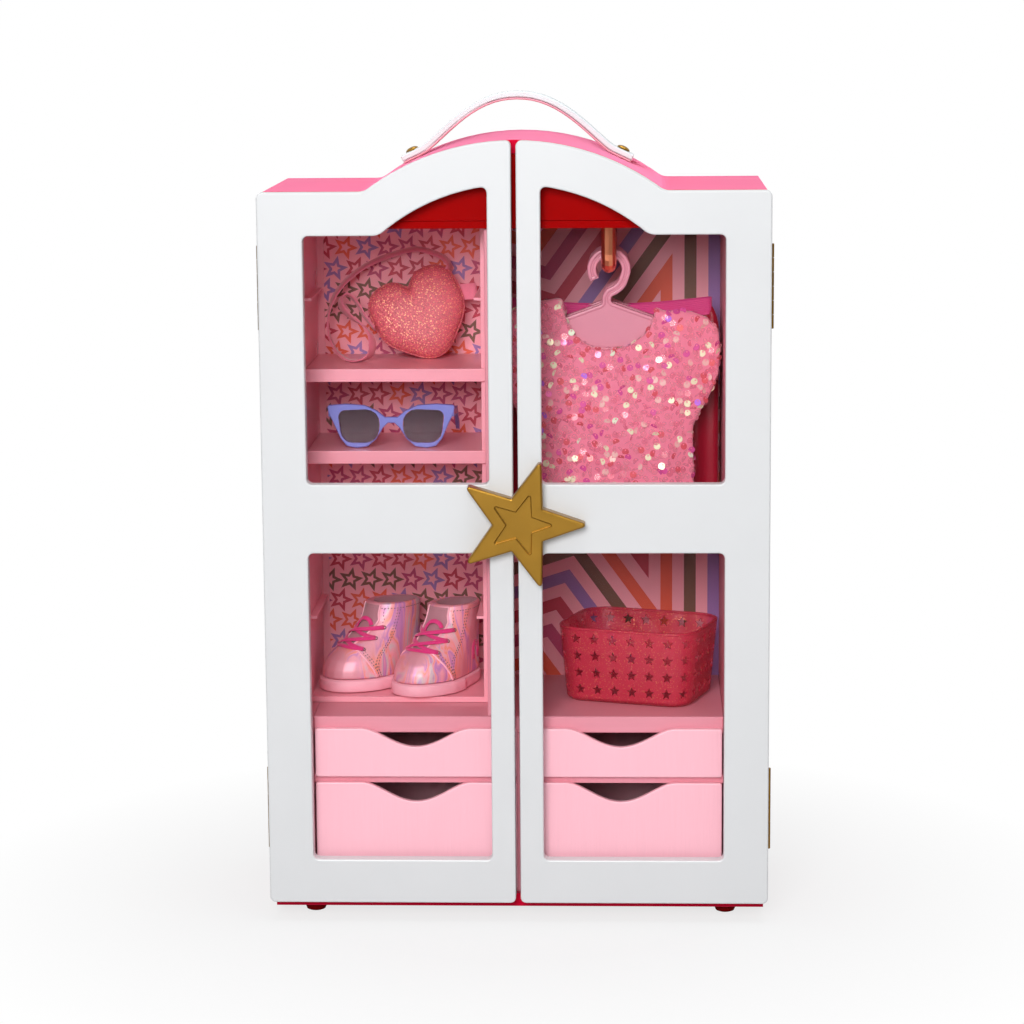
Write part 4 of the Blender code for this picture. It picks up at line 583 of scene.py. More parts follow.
def sew(shape, points, normals, pitch, radius, closed=False):
    """Lays stitches along a line, each one a short thread that dips into the surface."""
    even = evenly(points, pitch / 4, closed)
    nearest = [min(range(len(points)), key=lambda i: (points[i] - point).length_squared) for point in even]
    for start in range(0, len(even) - 2, 4):
        outs = [normals[index] for index in nearest[start:start + 3]]
        sweep(shape, even[start:start + 3], outs, round_section(radius, 6), scales=[0.6, 1, 0.6])


def star_points(centre, radius, inner_share, turn=0.0):
    """The ten corners of a star that points along turn."""
    made = []
    for step, angle in enumerate(around(10)):
        reach = radius * (inner_share if step % 2 else 1)
        made.append(Vector((centre[0] + reach * cos(turn + angle), centre[1] + reach * sin(turn + angle))))
    return made


def clipped(points, low, high):
    """The part of a convex outline that lies in a box."""
    for axis in (0, 1):
        for limit, sign in ((low[axis], 1), (high[axis], -1)):
            kept = []
            for index, here in enumerate(points):
                before = points[index - 1]
                inside, was_inside = sign * (here[axis] - limit) >= 0, sign * (before[axis] - limit) >= 0
                if inside != was_inside:
                    share = (limit - before[axis]) / (here[axis] - before[axis])
                    kept.append(before.lerp(here, share))
                if inside:
                    kept.append(here)
            points = kept
            if len(points) < 3:
                return []
    return points


# Surfaces to lay things on

def puffed(shape, seam, pressure, most):
    """A padded shape blown up as cloth that is held along its seam, no point moving further than most."""
    scene = bpy.context.scene
    cushion = new_object("puffed", shape.copy())
    held = cushion.vertex_groups.new(name="seam")
    tree = KDTree(len(seam))
    for index, point in enumerate(seam):
        tree.insert(point, index)
    tree.balance()
    near = [vertex.index for vertex in cushion.data.vertices if tree.find(vertex.co)[2] < SEAM_HOLD]
    held.add(near, 1.0, "REPLACE")
    cloth = cushion.modifiers.new("cloth", "CLOTH").settings
    cloth.use_pressure = True
    cloth.uniform_pressure_force = pressure
    cloth.effector_weights.gravity = 0
    cloth.vertex_group_mass = "seam"
    for step in range(1, PUFF_STEPS + 1):
        scene.frame_set(step)
    blown = cushion.evaluated_get(bpy.context.evaluated_depsgraph_get()).to_mesh()
    for vertex, moved in zip(shape.verts, [vertex.co.copy() for vertex in blown.vertices]):
        move = moved - vertex.co
        vertex.co += move * min(most / max(move.length, 1e-9), 1)
    scene.frame_set(1)
    bpy.data.meshes.remove(cushion.data)
    shape.normal_update()
    return shape


class Surface:
    """A shape that lines can be laid on from outside."""

    def __init__(self, shape):
        self.tree = BVHTree.FromBMesh(shape)

    def meet(self, start, direction, lift=0.0):
        """Where a line from start meets the surface, raised a little, and the normal there."""
        place, normal, _, _ = self.tree.ray_cast(start, direction.normalized())
        if place is None:
            place, normal, _, _ = self.tree.find_nearest(start)
        if normal.dot(direction) > 0:
            normal = -normal
        return place + normal * lift, normal

    def wrap(self, places, lift=0.0):
        """The surface's nearest points to places, raised a little, and the normals there."""
        met = [self.tree.find_nearest(place)[:2] for place in places]
        return [place + normal * lift for place, normal in met], [normal for _, normal in met]


# Stage

class ClosetStage(bpy.types.Operator):
    """Pale floor, white backdrop, soft lamps and the camera."""
    bl_idname = "closet.stage"
    bl_label = "Stage"
    floor_radius = 12
    camera_lens = 107.98
    camera_place = (0.07663, -2.03927, 0.60759)
    camera_left, camera_down, camera_roll = radians(2.3013), radians(9.5692), radians(-0.4322)

    def execute(self, context):
        settings = context.scene.closet_stage
        context.scene.view_settings.view_transform = "Standard"
        self.make_world(context.scene, settings)
        self.make_floor(settings)
        self.make_lamp("front_light", (-0.25, -2.2, 1.10), (0, 0, 0.25), 1.0, settings.front_power)
        self.make_lamp("top_light", (0.15, -0.25, 2.0), (0, 0, 0.2), 1.4, settings.top_power)
        self.make_camera(context.scene)
        return {"FINISHED"}

    def make_world(self, scene, settings):
        """White to the camera and to clear things; gloss sees it white behind and grey in front."""
        scene.world = bpy.data.worlds.new("Backdrop")
        scene.world.use_nodes = True
        tree = scene.world.node_tree
        tree.nodes.clear()
        room = ranged(share_along(tree, "Y"), 0.30, 1.0, -0.9, 0.3)
        gloss = add_node(tree, "LightPath").outputs["Is Glossy Ray"]
        level = add_node(tree, "Mix", {"Factor": gloss, "A": settings.daylight, "B": room}).outputs["Result"]
        strength = add_node(tree, "Mix", {"Factor": seen_by_camera(tree), "A": level, "B": 1.0}).outputs["Result"]
        back = add_node(tree, "Background", {"Color": (1, 1, 1, 1), "Strength": strength}).outputs["Background"]
        add_node(tree, "OutputWorld", {"Surface": back})

    def make_floor(self, settings):
        """A wide floor that keeps the shadow near the closet and fades to white further out."""
        finish, shader = new_finish("floor", (0.62, 0.62, 0.63), 0.9)
        tree = finish.node_tree
        place = add_node(tree, "TexCoord").outputs["Object"]
        far = add_node(tree, "VectorMath", {0: place}, operation="LENGTH").outputs["Value"]
        fade = ranged(far, 0.76, 1.0, settings.floor_reach * 0.35, settings.floor_reach * 0.9)
        amount = joined("MULTIPLY", fade, seen_by_camera(tree))
        glow = add_node(tree, "Emission", {"Strength": 1.0}).outputs["Emission"]
        shade = add_node(tree, "MixShader", {"Fac": amount, 1: shader.outputs["BSDF"], 2: glow})
        feed(tree.nodes["Material Output"], {"Surface": shade.outputs["Shader"]})
        shape = bmesh.new()
        bmesh.ops.create_circle(shape, cap_ends=True, radius=self.floor_radius, segments=64)
        floor = new_object("floor", shape)
        floor.data.materials.append(finish)

    def make_lamp(self, name, place, target, size, power):
        """A large round lamp that faces a point."""
        lamp = bpy.data.lights.new(name, "AREA")
        lamp.shape = "DISK"
        lamp.size = size
        lamp.energy = power
        holder = bpy.data.objects.new(name, lamp)
        holder.location = place
        holder.rotation_euler = (Vector(target) - Vector(place)).to_track_quat("-Z", "Y").to_euler()
        bpy.context.scene.collection.objects.link(holder)

    def make_camera(self, scene):
        """The photograph's view: from in front, a little above and to the right."""
        data = bpy.data.cameras.new("camera")
        data.sensor_width = 36
        data.lens = self.camera_lens
        data.clip_end = 40
        camera = bpy.data.objects.new("camera", data)
        aim = Matrix.Rotation(self.camera_left, 4, "Z") @ Matrix.Rotation(pi / 2 - self.camera_down, 4, "X")
        roll = Matrix.Rotation(self.camera_roll, 4, "Z")
        camera.matrix_world = Matrix.Translation(self.camera_place) @ aim @ roll
        scene.collection.objects.link(camera)
        scene.camera = camera


# Case, doors and metalwork

class ClosetCase(bpy.types.Operator):
    """Paint on the case, its feet and its inner boards."""
    bl_idname = "closet.case"
    bl_label = "Case"

    def execute(self, context):
        settings = context.scene.closet_case
        outside = satin_paint("case_paint", settings.case_red, settings.graze, 0.001)
        paint_nodes(outside, "arched_top", "left_side_panel", "right_side_panel", "back_panel", "bottom_panel")
        # The fascia and the ceiling panel get the darker red: painted shade under the arch.
        inside = satin_paint("fascia_paint", settings.fascia_shaded_red, gloss=0.01)
        paint_nodes(inside, "fascia_board", "ceiling_panel")
        # The feet take the fascia's red at 0.56 of its brightness: painted shade under the case.
        feet = satin_paint("foot_paint", shaded(settings.fascia_shaded_red, 0.56), gloss=0.06)
        paint_nodes(feet, *ending_in("_foot"))
        paint_nodes(grained_paint("board_paint", settings.board_pink, False), "base_shelf")
        upright = grained_paint("liner_paint", settings.board_pink, True)
        paint_nodes(upright, "left_liner", "right_liner", "centre_divider", "drawer_frame")
        return {"FINISHED"}


class ClosetDoors(bpy.types.Operator):
    """Satin white door frames with clear panes."""
    bl_idname = "closet.doors"
    bl_label = "Doors"

    def execute(self, context):
        settings = context.scene.closet_case
        paint_nodes(satin_paint("door_paint", settings.door_white), *ending_in("_door_frame"))
        paint_nodes(clear_pane("clear_pane"), *ending_in("_pane"))
        return {"FINISHED"}


class ClosetHinges(bpy.types.Operator):
    """Gold butt hinges with screws in their leaves."""
    bl_idname = "closet.hinges"
    bl_label = "Hinges"
    screw_heights = (0.16, 0.50, 0.84)
    screw_reaches = (0.0062, 0.0084, 0.0062)

    def execute(self, context):
        settings = context.scene.closet_case
        gold = cast_metal("hinge_gold", settings.gold, 0.3)
        for name in [name for name in NODES if "_hinge_" in name]:
            paint_nodes(gold, name)
            self.make_screws(name, settings.screw_radius, gold)
        return {"FINISHED"}

    def make_screws(self, name, radius, finish):
        """Three flush heads on the face that the open door shows."""
        low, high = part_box(name)
        surface = Surface(solid_of(name))
        on_door = name.endswith("door_leaf")
        door = name.split("_")[0] + "_door"
        side, inner = (-1, high.x) if door == "left_door" else (1, low.x)
        out = Vector((0, 1 if on_door else -1, 0))
        shape = bmesh.new()
        for height, reach in zip(self.screw_heights, self.screw_reaches):
            start = Vector((inner + side * reach, (low.y + high.y) / 2, low.z + (high.z - low.z) * height))
            place, _ = surface.meet(start + out * 0.03, -out)
            self.make_head(shape, place, out, radius)
        placed_piece(name + "_screws", shape, finish, door if on_door else "case")

    def make_head(self, shape, place, out, radius, rise=0.00008):
        """A flush screw head with a cross of two slots."""
        across = out.orthogonal().normalized()
        up = out.cross(across)
        slot, reach = radius * 0.16, radius * 0.62
        cross = [(reach, slot), (slot, slot), (slot, reach), (-slot, reach), (-slot, slot), (-reach, slot),
                 (-reach, -slot), (-slot, -slot), (-slot, -reach), (slot, -reach), (slot, -slot), (reach, -slot)]
        rim = [Vector(point).normalized() * radius for point in cross]
        rings = [[shape.verts.new(place + across * a + up * b + out * rise * height) for a, b in line]
                 for line, height in ((rim, -0.5), (rim, 1), (cross, 1), (cross, 0.1))]
        skin(shape, rings)
        shape.faces.new(rings[-1])


class ClosetLatch(bpy.types.Operator):
    """Cast gold star latch."""
    bl_idname = "closet.latch"
    bl_label = "Star latch"

    def execute(self, context):
        paint_nodes(cast_metal("latch_gold", context.scene.closet_case.gold, 0.33), "star_latch")
        return {"FINISHED"}


class ClosetHandle(bpy.types.Operator):
    """Leather handle with a lining and two dome rivets."""
    bl_idname = "closet.handle"
    bl_label = "Carry handle"

    def execute(self, context):
        settings = context.scene.closet_case
        paint_nodes(cast_metal("rivet_gold", settings.gold, 0.22), "left_handle_rivet", "right_handle_rivet")
        paint_nodes(grained_leather("strap_leather", settings.strap_white, 0.45), "handle_strap")
        paint_nodes(grained_leather("lining_leather", settings.strap_pink), "handle_lining")
        return {"FINISHED"}


class ClosetDrawers(bpy.types.Operator):
    """Painted drawers whose grain runs upright."""
    bl_idname = "closet.drawers"
    bl_label = "Drawers"

    def execute(self, context):
        paint = grained_paint("drawer_paint", context.scene.closet_case.drawer_pink, True)
        paint_nodes(paint, *ending_in("_drawer"))
        return {"FINISHED"}


# Prints

class ClosetPrints(bpy.types.Operator):
    """Printed back panels: small star outlines on the left, wide nested stripes on the right."""
    bl_idname = "closet.prints"
    bl_label = "Back prints"
    inks = ("orange", "raspberry", "plum", "olive", "violet")
    wide_star = (0.444, 0.618)
    star_inks = (0, 1, 3, 2, 1, 4, 0, 3, 1, 2, 3, 4, 2, 0, 1, 3, 2, 4)
    stripe_inks = (1, 0, 3, 4, 1, 2, 0, 3, 4, 1, 2)
    outer_inset, inner_inset, star_line = 0.44, 0.46, 0.46
    ink_thickness = 0.0001

    def execute(self, context):
        settings = context.scene.closet_prints
        paint_nodes(printed_paper("print_ground", settings.paper), "star_print_panel", "stripe_print_panel")
        inks = [printed_paper(name + "_ink", getattr(settings, name)) for name in self.inks]
        for name, make_stars in (("star_print", self.small_stars), ("stripe_print", self.stripes)):
            low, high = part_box(name + "_panel")
            shape = bmesh.new()
            for outer, inner, ink in make_stars(settings, low, high):
                self.print_star(shape, outer, inner, low, high, ink)
            placed_piece(name, shape, inks, "case", smooth=False)
        return {"FINISHED"}

    def print_star(self, shape, outer, inner, low, high, ink):
        """One star outline in front of a panel, cut off at the panel's edges."""
        for index in range(10):
            beside = (index + 1) % 10
            quad = clipped([outer[index], outer[beside], inner[beside], inner[index]], low.xz, high.xz)
            if quad:
                corners = [shape.verts.new((point.x, low.y - self.ink_thickness, point.y)) for point in quad]
                shape.faces.new(corners).material_index = ink

    def small_stars(self, settings, low, high):
        """Rows of star outlines, each row half a pitch along from the one below."""
        pitch = settings.star_pitch
        made = []
        for row in range(int((high.z - low.z) / pitch) + 3):
            for column in range(int((high.x - low.x) / pitch) + 3):
                centre = (low.x + (column - 0.32 + 0.5 * (row % 2)) * pitch, low.z - 0.0015 + row * pitch * 1.01)
                turn = 0.10 * sin(column * 2.3 + row * 1.7)
                outer = star_points(centre, settings.star_radius, self.outer_inset, turn)
                inner = star_points(centre, settings.star_radius * self.star_line, self.inner_inset, turn)
                ink = self.star_inks[(column * 5 + row * 7 + row // 3) % len(self.star_inks)]
                made.append((outer, inner, ink))
        return made

    def stripes(self, settings, low, high):
        """Stripes that nest round one wide star."""
        across, up = self.wide_star
        centre = (low.x + (high.x - low.x) * across, low.z + (high.z - low.z) * up)
        width = settings.stripe_width
        longer = 1 / cos(radians(72))
        inner_share = sin(radians(18)) / sin(radians(54))
        made = []
        for step, ink in enumerate(self.stripe_inks):
            near = width * (2.5 + 2 * step)
            made.append((star_points(centre, (near + width) * longer, inner_share),
                         star_points(centre, near * longer, inner_share), ink))
        return made


# Mouldings

class ClosetShelfUnit(bpy.types.Operator):
    """Moulded pink shelf unit with two loose shelves."""
    bl_idname = "closet.shelf_unit"
    bl_label = "Shelf unit"

    def execute(self, context):
        plastic = moulded_plastic("unit_plastic", context.scene.closet_mouldings.unit_pink, 0.3)
        paint_nodes(plastic, "shelf_unit", "lower_shelf", "upper_shelf")
        return {"FINISHED"}


class ClosetRail(bpy.types.Operator):
    """Copper hanging rail."""
    bl_idname = "closet.rail"
    bl_label = "Hanging rail"

    def execute(self, context):
        paint_nodes(cast_metal("rail_copper", context.scene.closet_case.copper, 0.24), "garment_rail")
        return {"FINISHED"}


class ClosetHangers(bpy.types.Operator):
    """Moulded hangers with a raised rim on both faces."""
    bl_idname = "closet.hangers"
    bl_label = "Hangers"
    rim_pitch = 0.0012

    def execute(self, context):
        settings = context.scene.closet_mouldings
        plastic = moulded_plastic("hanger_plastic", settings.hanger_pink, 0.32)
        for name in ("front_hanger", "middle_hanger", "rear_hanger"):
            paint_nodes(plastic, name)
            self.make_rim(name, settings.rim_radius, plastic)
        return {"FINISHED"}

    def make_rim(self, name, radius, plastic):
        """A rounded bead just inside the outline, on the front and the back."""
        low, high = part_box(name)
        solid = solid_of(name)
        shape = bmesh.new()
        section = [(a * radius, b * radius * 0.5) for a, b in round_section(1, 10)]
        for y, out in ((low.y, Vector((0, -1, 0))), (high.y, Vector((0, 1, 0)))):
            line = evened(evenly(self.face_outline(solid, y), self.rim_pitch, closed=True))
            sweep(shape, self.inset_line(line, radius), out, section, closed=True)
        solid.free()
        placed_piece(name + "_rim", shape, plastic, "hanging")

    def face_outline(self, solid, y):
        """The outline of a solid's flat face at y, in order."""
        flat = [face for face in solid.faces if all(abs(vertex.co.y - y) < 1e-5 for vertex in face.verts)]
        members = set(flat)
        beside = {}
        for face in flat:
            for edge in face.edges:
                if sum(other in members for other in edge.link_faces) == 1:
                    one, two = edge.verts
                    beside.setdefault(one, []).append(two)
                    beside.setdefault(two, []).append(one)
        start = min(beside, key=lambda vertex: vertex.co.z)
        line, before, here = [], None, start
        while here is not start or not line:
            line.append(here.co.copy())
            following = [vertex for vertex in beside[here] if vertex is not before]
            before, here = here, following[0]
        return line

    def inset_line(self, line, amount):
        """A closed line in the XZ plane, moved inwards."""
        area = sum(a.x * b.z - b.x * a.z for a, b in zip(line, line[1:] + line[:1]))
        side = 1 if area > 0 else -1
        made = []
        for index, point in enumerate(line):
            along = (line[(index + 1) % len(line)] - line[index - 1]).normalized()
            made.append(point + Vector((-along.z, 0, along.x)) * side * amount)
        return made


class ClosetBasket(bpy.types.Operator):
    """Glitter plastic basket with four rows of star holes and a rolled rim."""
    bl_idname = "closet.basket"
    bl_label = "Basket"
    columns, rows, cell_steps = 24, 4, 6
    ring_reach, star_reaches = 1.22, (1, 0.62, 0.45, 0.62)
    half_width, half_depth, corner = 0.0490, 0.0385, 0.0190
    wall, taper = 0.0016, 0.0050
    floor_height, foot_band, top_band = 0.0012, 0.0030, 0.0012
    foot_rise, foot_inset, floor_insets = 0.0024, 0.0010, (0.0024, 0.0120)
    girth = 0.317
    turn = radians(-18)

    def execute(self, context):
        settings = context.scene.closet_mouldings
        low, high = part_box("star_basket")
        self.centre = (low + high) / 2
        self.foot, self.tall = low.z, high.z - low.z
        plastic = glitter("basket_plastic", settings.basket_raspberry, (1.0, 0.36, 0.16), 2300, 0.03, 0.3,
                          alpha=0.52)
        shape = bmesh.new()
        self.make_walls(shape, settings.hole_radius)
        self.make_floor(shape)
        bmesh.ops.remove_doubles(shape, verts=shape.verts, dist=1e-5)
        bmesh.ops.recalc_face_normals(shape, faces=shape.faces)
        solid = worked(shape, ("SOLIDIFY", {"thickness": self.wall, "offset": -1.0}))
        basket = placed_piece("glitter_basket", solid, plastic, "basket", "star_basket")
        basket.modifiers.new("edges", "EDGE_SPLIT").split_angle = radians(50)
        rim = bmesh.new()
        line = [self.at(step / 96, self.tall - 0.0004, self.wall / 2) for step in range(96)]
        sweep(rim, line, Vector((0, 0, 1)), round_section(0.0011), closed=True)
        placed_piece("basket_rim", rim, plastic, "basket")
        return {"FINISHED"}

    def at(self, share, height, inset=0.0):
        """The point of the outer wall at a share of the way round and a height."""
        inset += self.taper * (1 - height / self.tall)
        half_x, half_y, corner = self.half_width - inset, self.half_depth - inset, self.corner - inset
        straight_x, straight_y, arc = half_x - corner, half_y - corner, corner * pi / 2
        parts = [straight_x, arc, straight_y * 2, arc, straight_x * 2, arc, straight_y * 2, arc, straight_x]
        along = share % 1 * sum(parts)
        index = 0
        while along > parts[index] and index < len(parts) - 1:
            along -= parts[index]
            index += 1
        if index % 2:
            quarter = index // 2
            sign_x, sign_y = ((1, -1), (1, 1), (-1, 1), (-1, -1))[quarter]
            angle = pi / 2 * (quarter - 1) + along / corner
            x, y = sign_x * straight_x + corner * cos(angle), sign_y * straight_y + corner * sin(angle)
        else:
            x, y = ((along, -half_y), (half_x, along - straight_y), (straight_x - along, half_y),
                    (-half_x, straight_y - along), (along - straight_x, -half_y))[index // 2]
        turned = Vector((x, y, 0))
        turned.rotate(Matrix.Rotation(self.turn, 3, "Z"))
        return Vector((self.centre.x + turned.x, self.centre.y + turned.y, self.foot + height))

    def make_walls(self, shape, hole_radius):
        """The wall in cells, each with a star hole, between a plain band above and one below."""
        low, high = self.foot_band, self.tall - self.top_band
        width, height = 1 / self.columns, (high - low) / self.rows
        for column in range(self.columns):
            for row in range(self.rows):
                centre = ((column + 0.5) * width, low + (row + 0.5) * height)
                self.make_cell(shape, centre, width, height, hole_radius)
        steps = self.columns * self.cell_steps
        for step in range(steps):
            left, right = step / steps, (step + 1) / steps
            for under, over, inset in ((self.floor_height, self.foot_rise, self.foot_inset),
                                       (self.foot_rise, low, 0), (high, self.tall, 0)):
                corners = [self.at(left, under, inset), self.at(right, under, inset),
                           self.at(right, over), self.at(left, over)]
                shape.faces.new([shape.verts.new(corner) for corner in corners])

    def make_cell(self, shape, centre, width, height, radius):
        """One cell: its edge, a ring, and a star hole in the middle."""
        edge = []
        corners = [(-0.5, -0.5), (0.5, -0.5), (0.5, 0.5), (-0.5, 0.5)]
        for (a, b), (c, d) in zip(corners, corners[1:] + corners[:1]):
            for share in [step / self.cell_steps for step in range(self.cell_steps)]:
                edge.append((centre[0] + (a + (c - a) * share) * width, centre[1] + (b + (d - b) * share) * height))
        ring, star = [[(centre[0] + radius * reach * cos(angle + pi / 2) / self.girth,
                        centre[1] + radius * reach * sin(angle + pi / 2)) for angle, reach in zip(around(20), reaches)]
                      for reaches in ([self.ring_reach] * 20, self.star_reaches * 5)]
        edge_line, ring_line, star_line = [[shape.verts.new(self.at(*point)) for point in line]
                                           for line in (edge, ring, star)]
        skin(shape, [ring_line, star_line])
        self.join_rings(shape, self.in_order(edge_line, edge, centre), self.in_order(ring_line, ring, centre))

    def in_order(self, corners, places, centre):
        """(angle, corner) pairs in order round the centre, with the first one again at the end."""
        turns = [atan2(place[1] - centre[1], (place[0] - centre[0]) * self.girth) for place in places]
        pairs = sorted(zip(turns, corners), key=lambda pair: pair[0])
        return pairs + [(pairs[0][0] + tau, pairs[0][1])]

    def join_rings(self, shape, outer, inner):
        """Triangles between two lines of (angle, corner) pairs round the same middle."""
        i = j = 0
        while i + 1 < len(outer) or j + 1 < len(inner):
            here_out, here_in = outer[i][1], inner[j][1]
            if j + 1 == len(inner) or (i + 1 < len(outer) and outer[i + 1][0] <= inner[j + 1][0]):
                i += 1
                shape.faces.new((here_out, outer[i][1], here_in))
            else:
                j += 1
                shape.faces.new((here_out, inner[j][1], here_in))

    def make_floor(self, shape):
        """The basket's floor, in rings towards its middle."""
        steps = self.columns * self.cell_steps
        levels = [(self.floor_height, self.foot_inset)] + [(0.0, inset) for inset in self.floor_insets]
        rings = [[shape.verts.new(self.at(step / steps, height, inset)) for step in range(steps)]
                 for height, inset in levels]
        skin(shape, rings)
        shape.faces.new(rings[-1])


# Clothes

class ClosetTop(bpy.types.Operator):
    """Net top covered with hanging sequins."""
    bl_idname = "closet.sequin_top"
    bl_label = "Sequin top"
    sites_seed, sequins_seed = 7, 11
    tries_per_site = 0.45
    sequin_sides = 12
    ripple_depth = 0.0010
    right_sink, left_sink, sink_height = 0.0085, 0.0030, 0.042

    def execute(self, context):
        settings = context.scene.closet_clothes
        cloth = refined("sequin_top", 0.0017, 6)
        self.drape(cloth)
        sites = self.sites(cloth, settings.sequin_spacing)
        net = woven_cloth("net", settings.net, 1300, 0.75, 0.6)
        top = placed_piece("net_top", cloth, net, "hanging", "sequin_top")
        placed_piece("sequins", self.make_sequins(sites, settings.sequin_radius), sequin_film("sequin_film"),
                     "hanging", smooth=False)
        return {"FINISHED"}

    def drape(self, cloth):
        """Soft folds down the cloth, and shoulders that sink onto the hanger, the right one further."""
        low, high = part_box("sequin_top")
        middle = (low + high) / 2
        for vertex in cloth.verts:
            x, z = vertex.co.x - middle.x, vertex.co.z
            down = (high.z - z) / (high.z - low.z)
            fold = sin(x * 150 + 3 * down) * 0.6 + sin(x * 263 + 1.3 - 5 * down) * 0.4
            across = sin(z * 120 + x * 40) * 0.25
            side = 1 if vertex.co.y > middle.y else -1
            near = min(abs(vertex.co.y - middle.y) / 0.004, 1)
            vertex.co.y += (fold * (0.2 + 0.8 * down) + across) * self.ripple_depth * near * side
            right = min(max((x - 0.020) / 0.016, 0), 1)
            left = min(max((-x - 0.034) / 0.020, 0), 1)
            sunk = max(1 - (high.z - z) / self.sink_height, 0)
            vertex.co.z -= (self.right_sink * right + self.left_sink * left) * sunk
        cloth.normal_update()

    def sites(self, cloth, spacing):
        """Places for sequins, spread evenly over the cloth and never too near each other."""
        chance = np.random.default_rng(self.sites_seed)
        faces = list(cloth.faces)
        areas = np.array([face.calc_area() for face in faces])
        count = int(areas.sum() / (spacing * spacing * self.tries_per_site))
        grid, kept = {}, []
        for pick in chance.choice(len(faces), count, p=areas / areas.sum()):
            face = faces[pick]
            place = Vector((0, 0, 0))
            for weight, vertex in zip(chance.dirichlet([1] * len(face.verts)), face.verts):
                place += vertex.co * float(weight)
            cell = tuple(int(round(value / spacing)) for value in place)
            near = [other for a in (-1, 0, 1) for b in (-1, 0, 1) for c in (-1, 0, 1)
                    for other in grid.get((cell[0] + a, cell[1] + b, cell[2] + c), ())]
            if all((other - place).length > spacing for other in near):
                grid.setdefault(cell, []).append(place)
                kept.append((place, face.normal.copy()))
        return kept

    def make_sequins(self, sites, radius):
        """Discs with a hole above the middle, each hanging at its own angle."""
        chance = np.random.default_rng(self.sequins_seed)
        shape = bmesh.new()
        tone_layer = shape.faces.layers.float.new("tone")
        for place, normal in sites:
            down = Vector((0, 0, -1)) - normal * (-normal.z)
            if down.length < 0.1:
                down = Vector((1, 0, 0))
            down.normalize()
            turn = Matrix.Rotation(float(chance.normal(0, 0.35)), 3, normal)
            lean = Matrix.Rotation(float(chance.normal(0.12, 0.30)), 3, turn @ normal.cross(down))
            roll = Matrix.Rotation(float(chance.normal(0, 0.30)), 3, down)
            tone = float(chance.random())
            size = radius * float(chance.uniform(0.92, 1.05))
            basis = roll @ lean @ turn
            out, fall = (basis @ normal).normalized(), (basis @ down).normalized()
            across = out.cross(fall)
            centre = place + normal * (0.0003 + abs(out.dot(down)) * size * 0.4) + fall * size * 0.3
            outer, inner = [], []
            for angle in around(self.sequin_sides):
                spoke = across * cos(angle) + fall * sin(angle)
                outer.append(shape.verts.new(centre + spoke * size))
                inner.append(shape.verts.new(centre - fall * size * 0.5 + spoke * size * 0.25))
            for face in skin(shape, [outer, inner]):
                face[tone_layer] = tone
        return shape


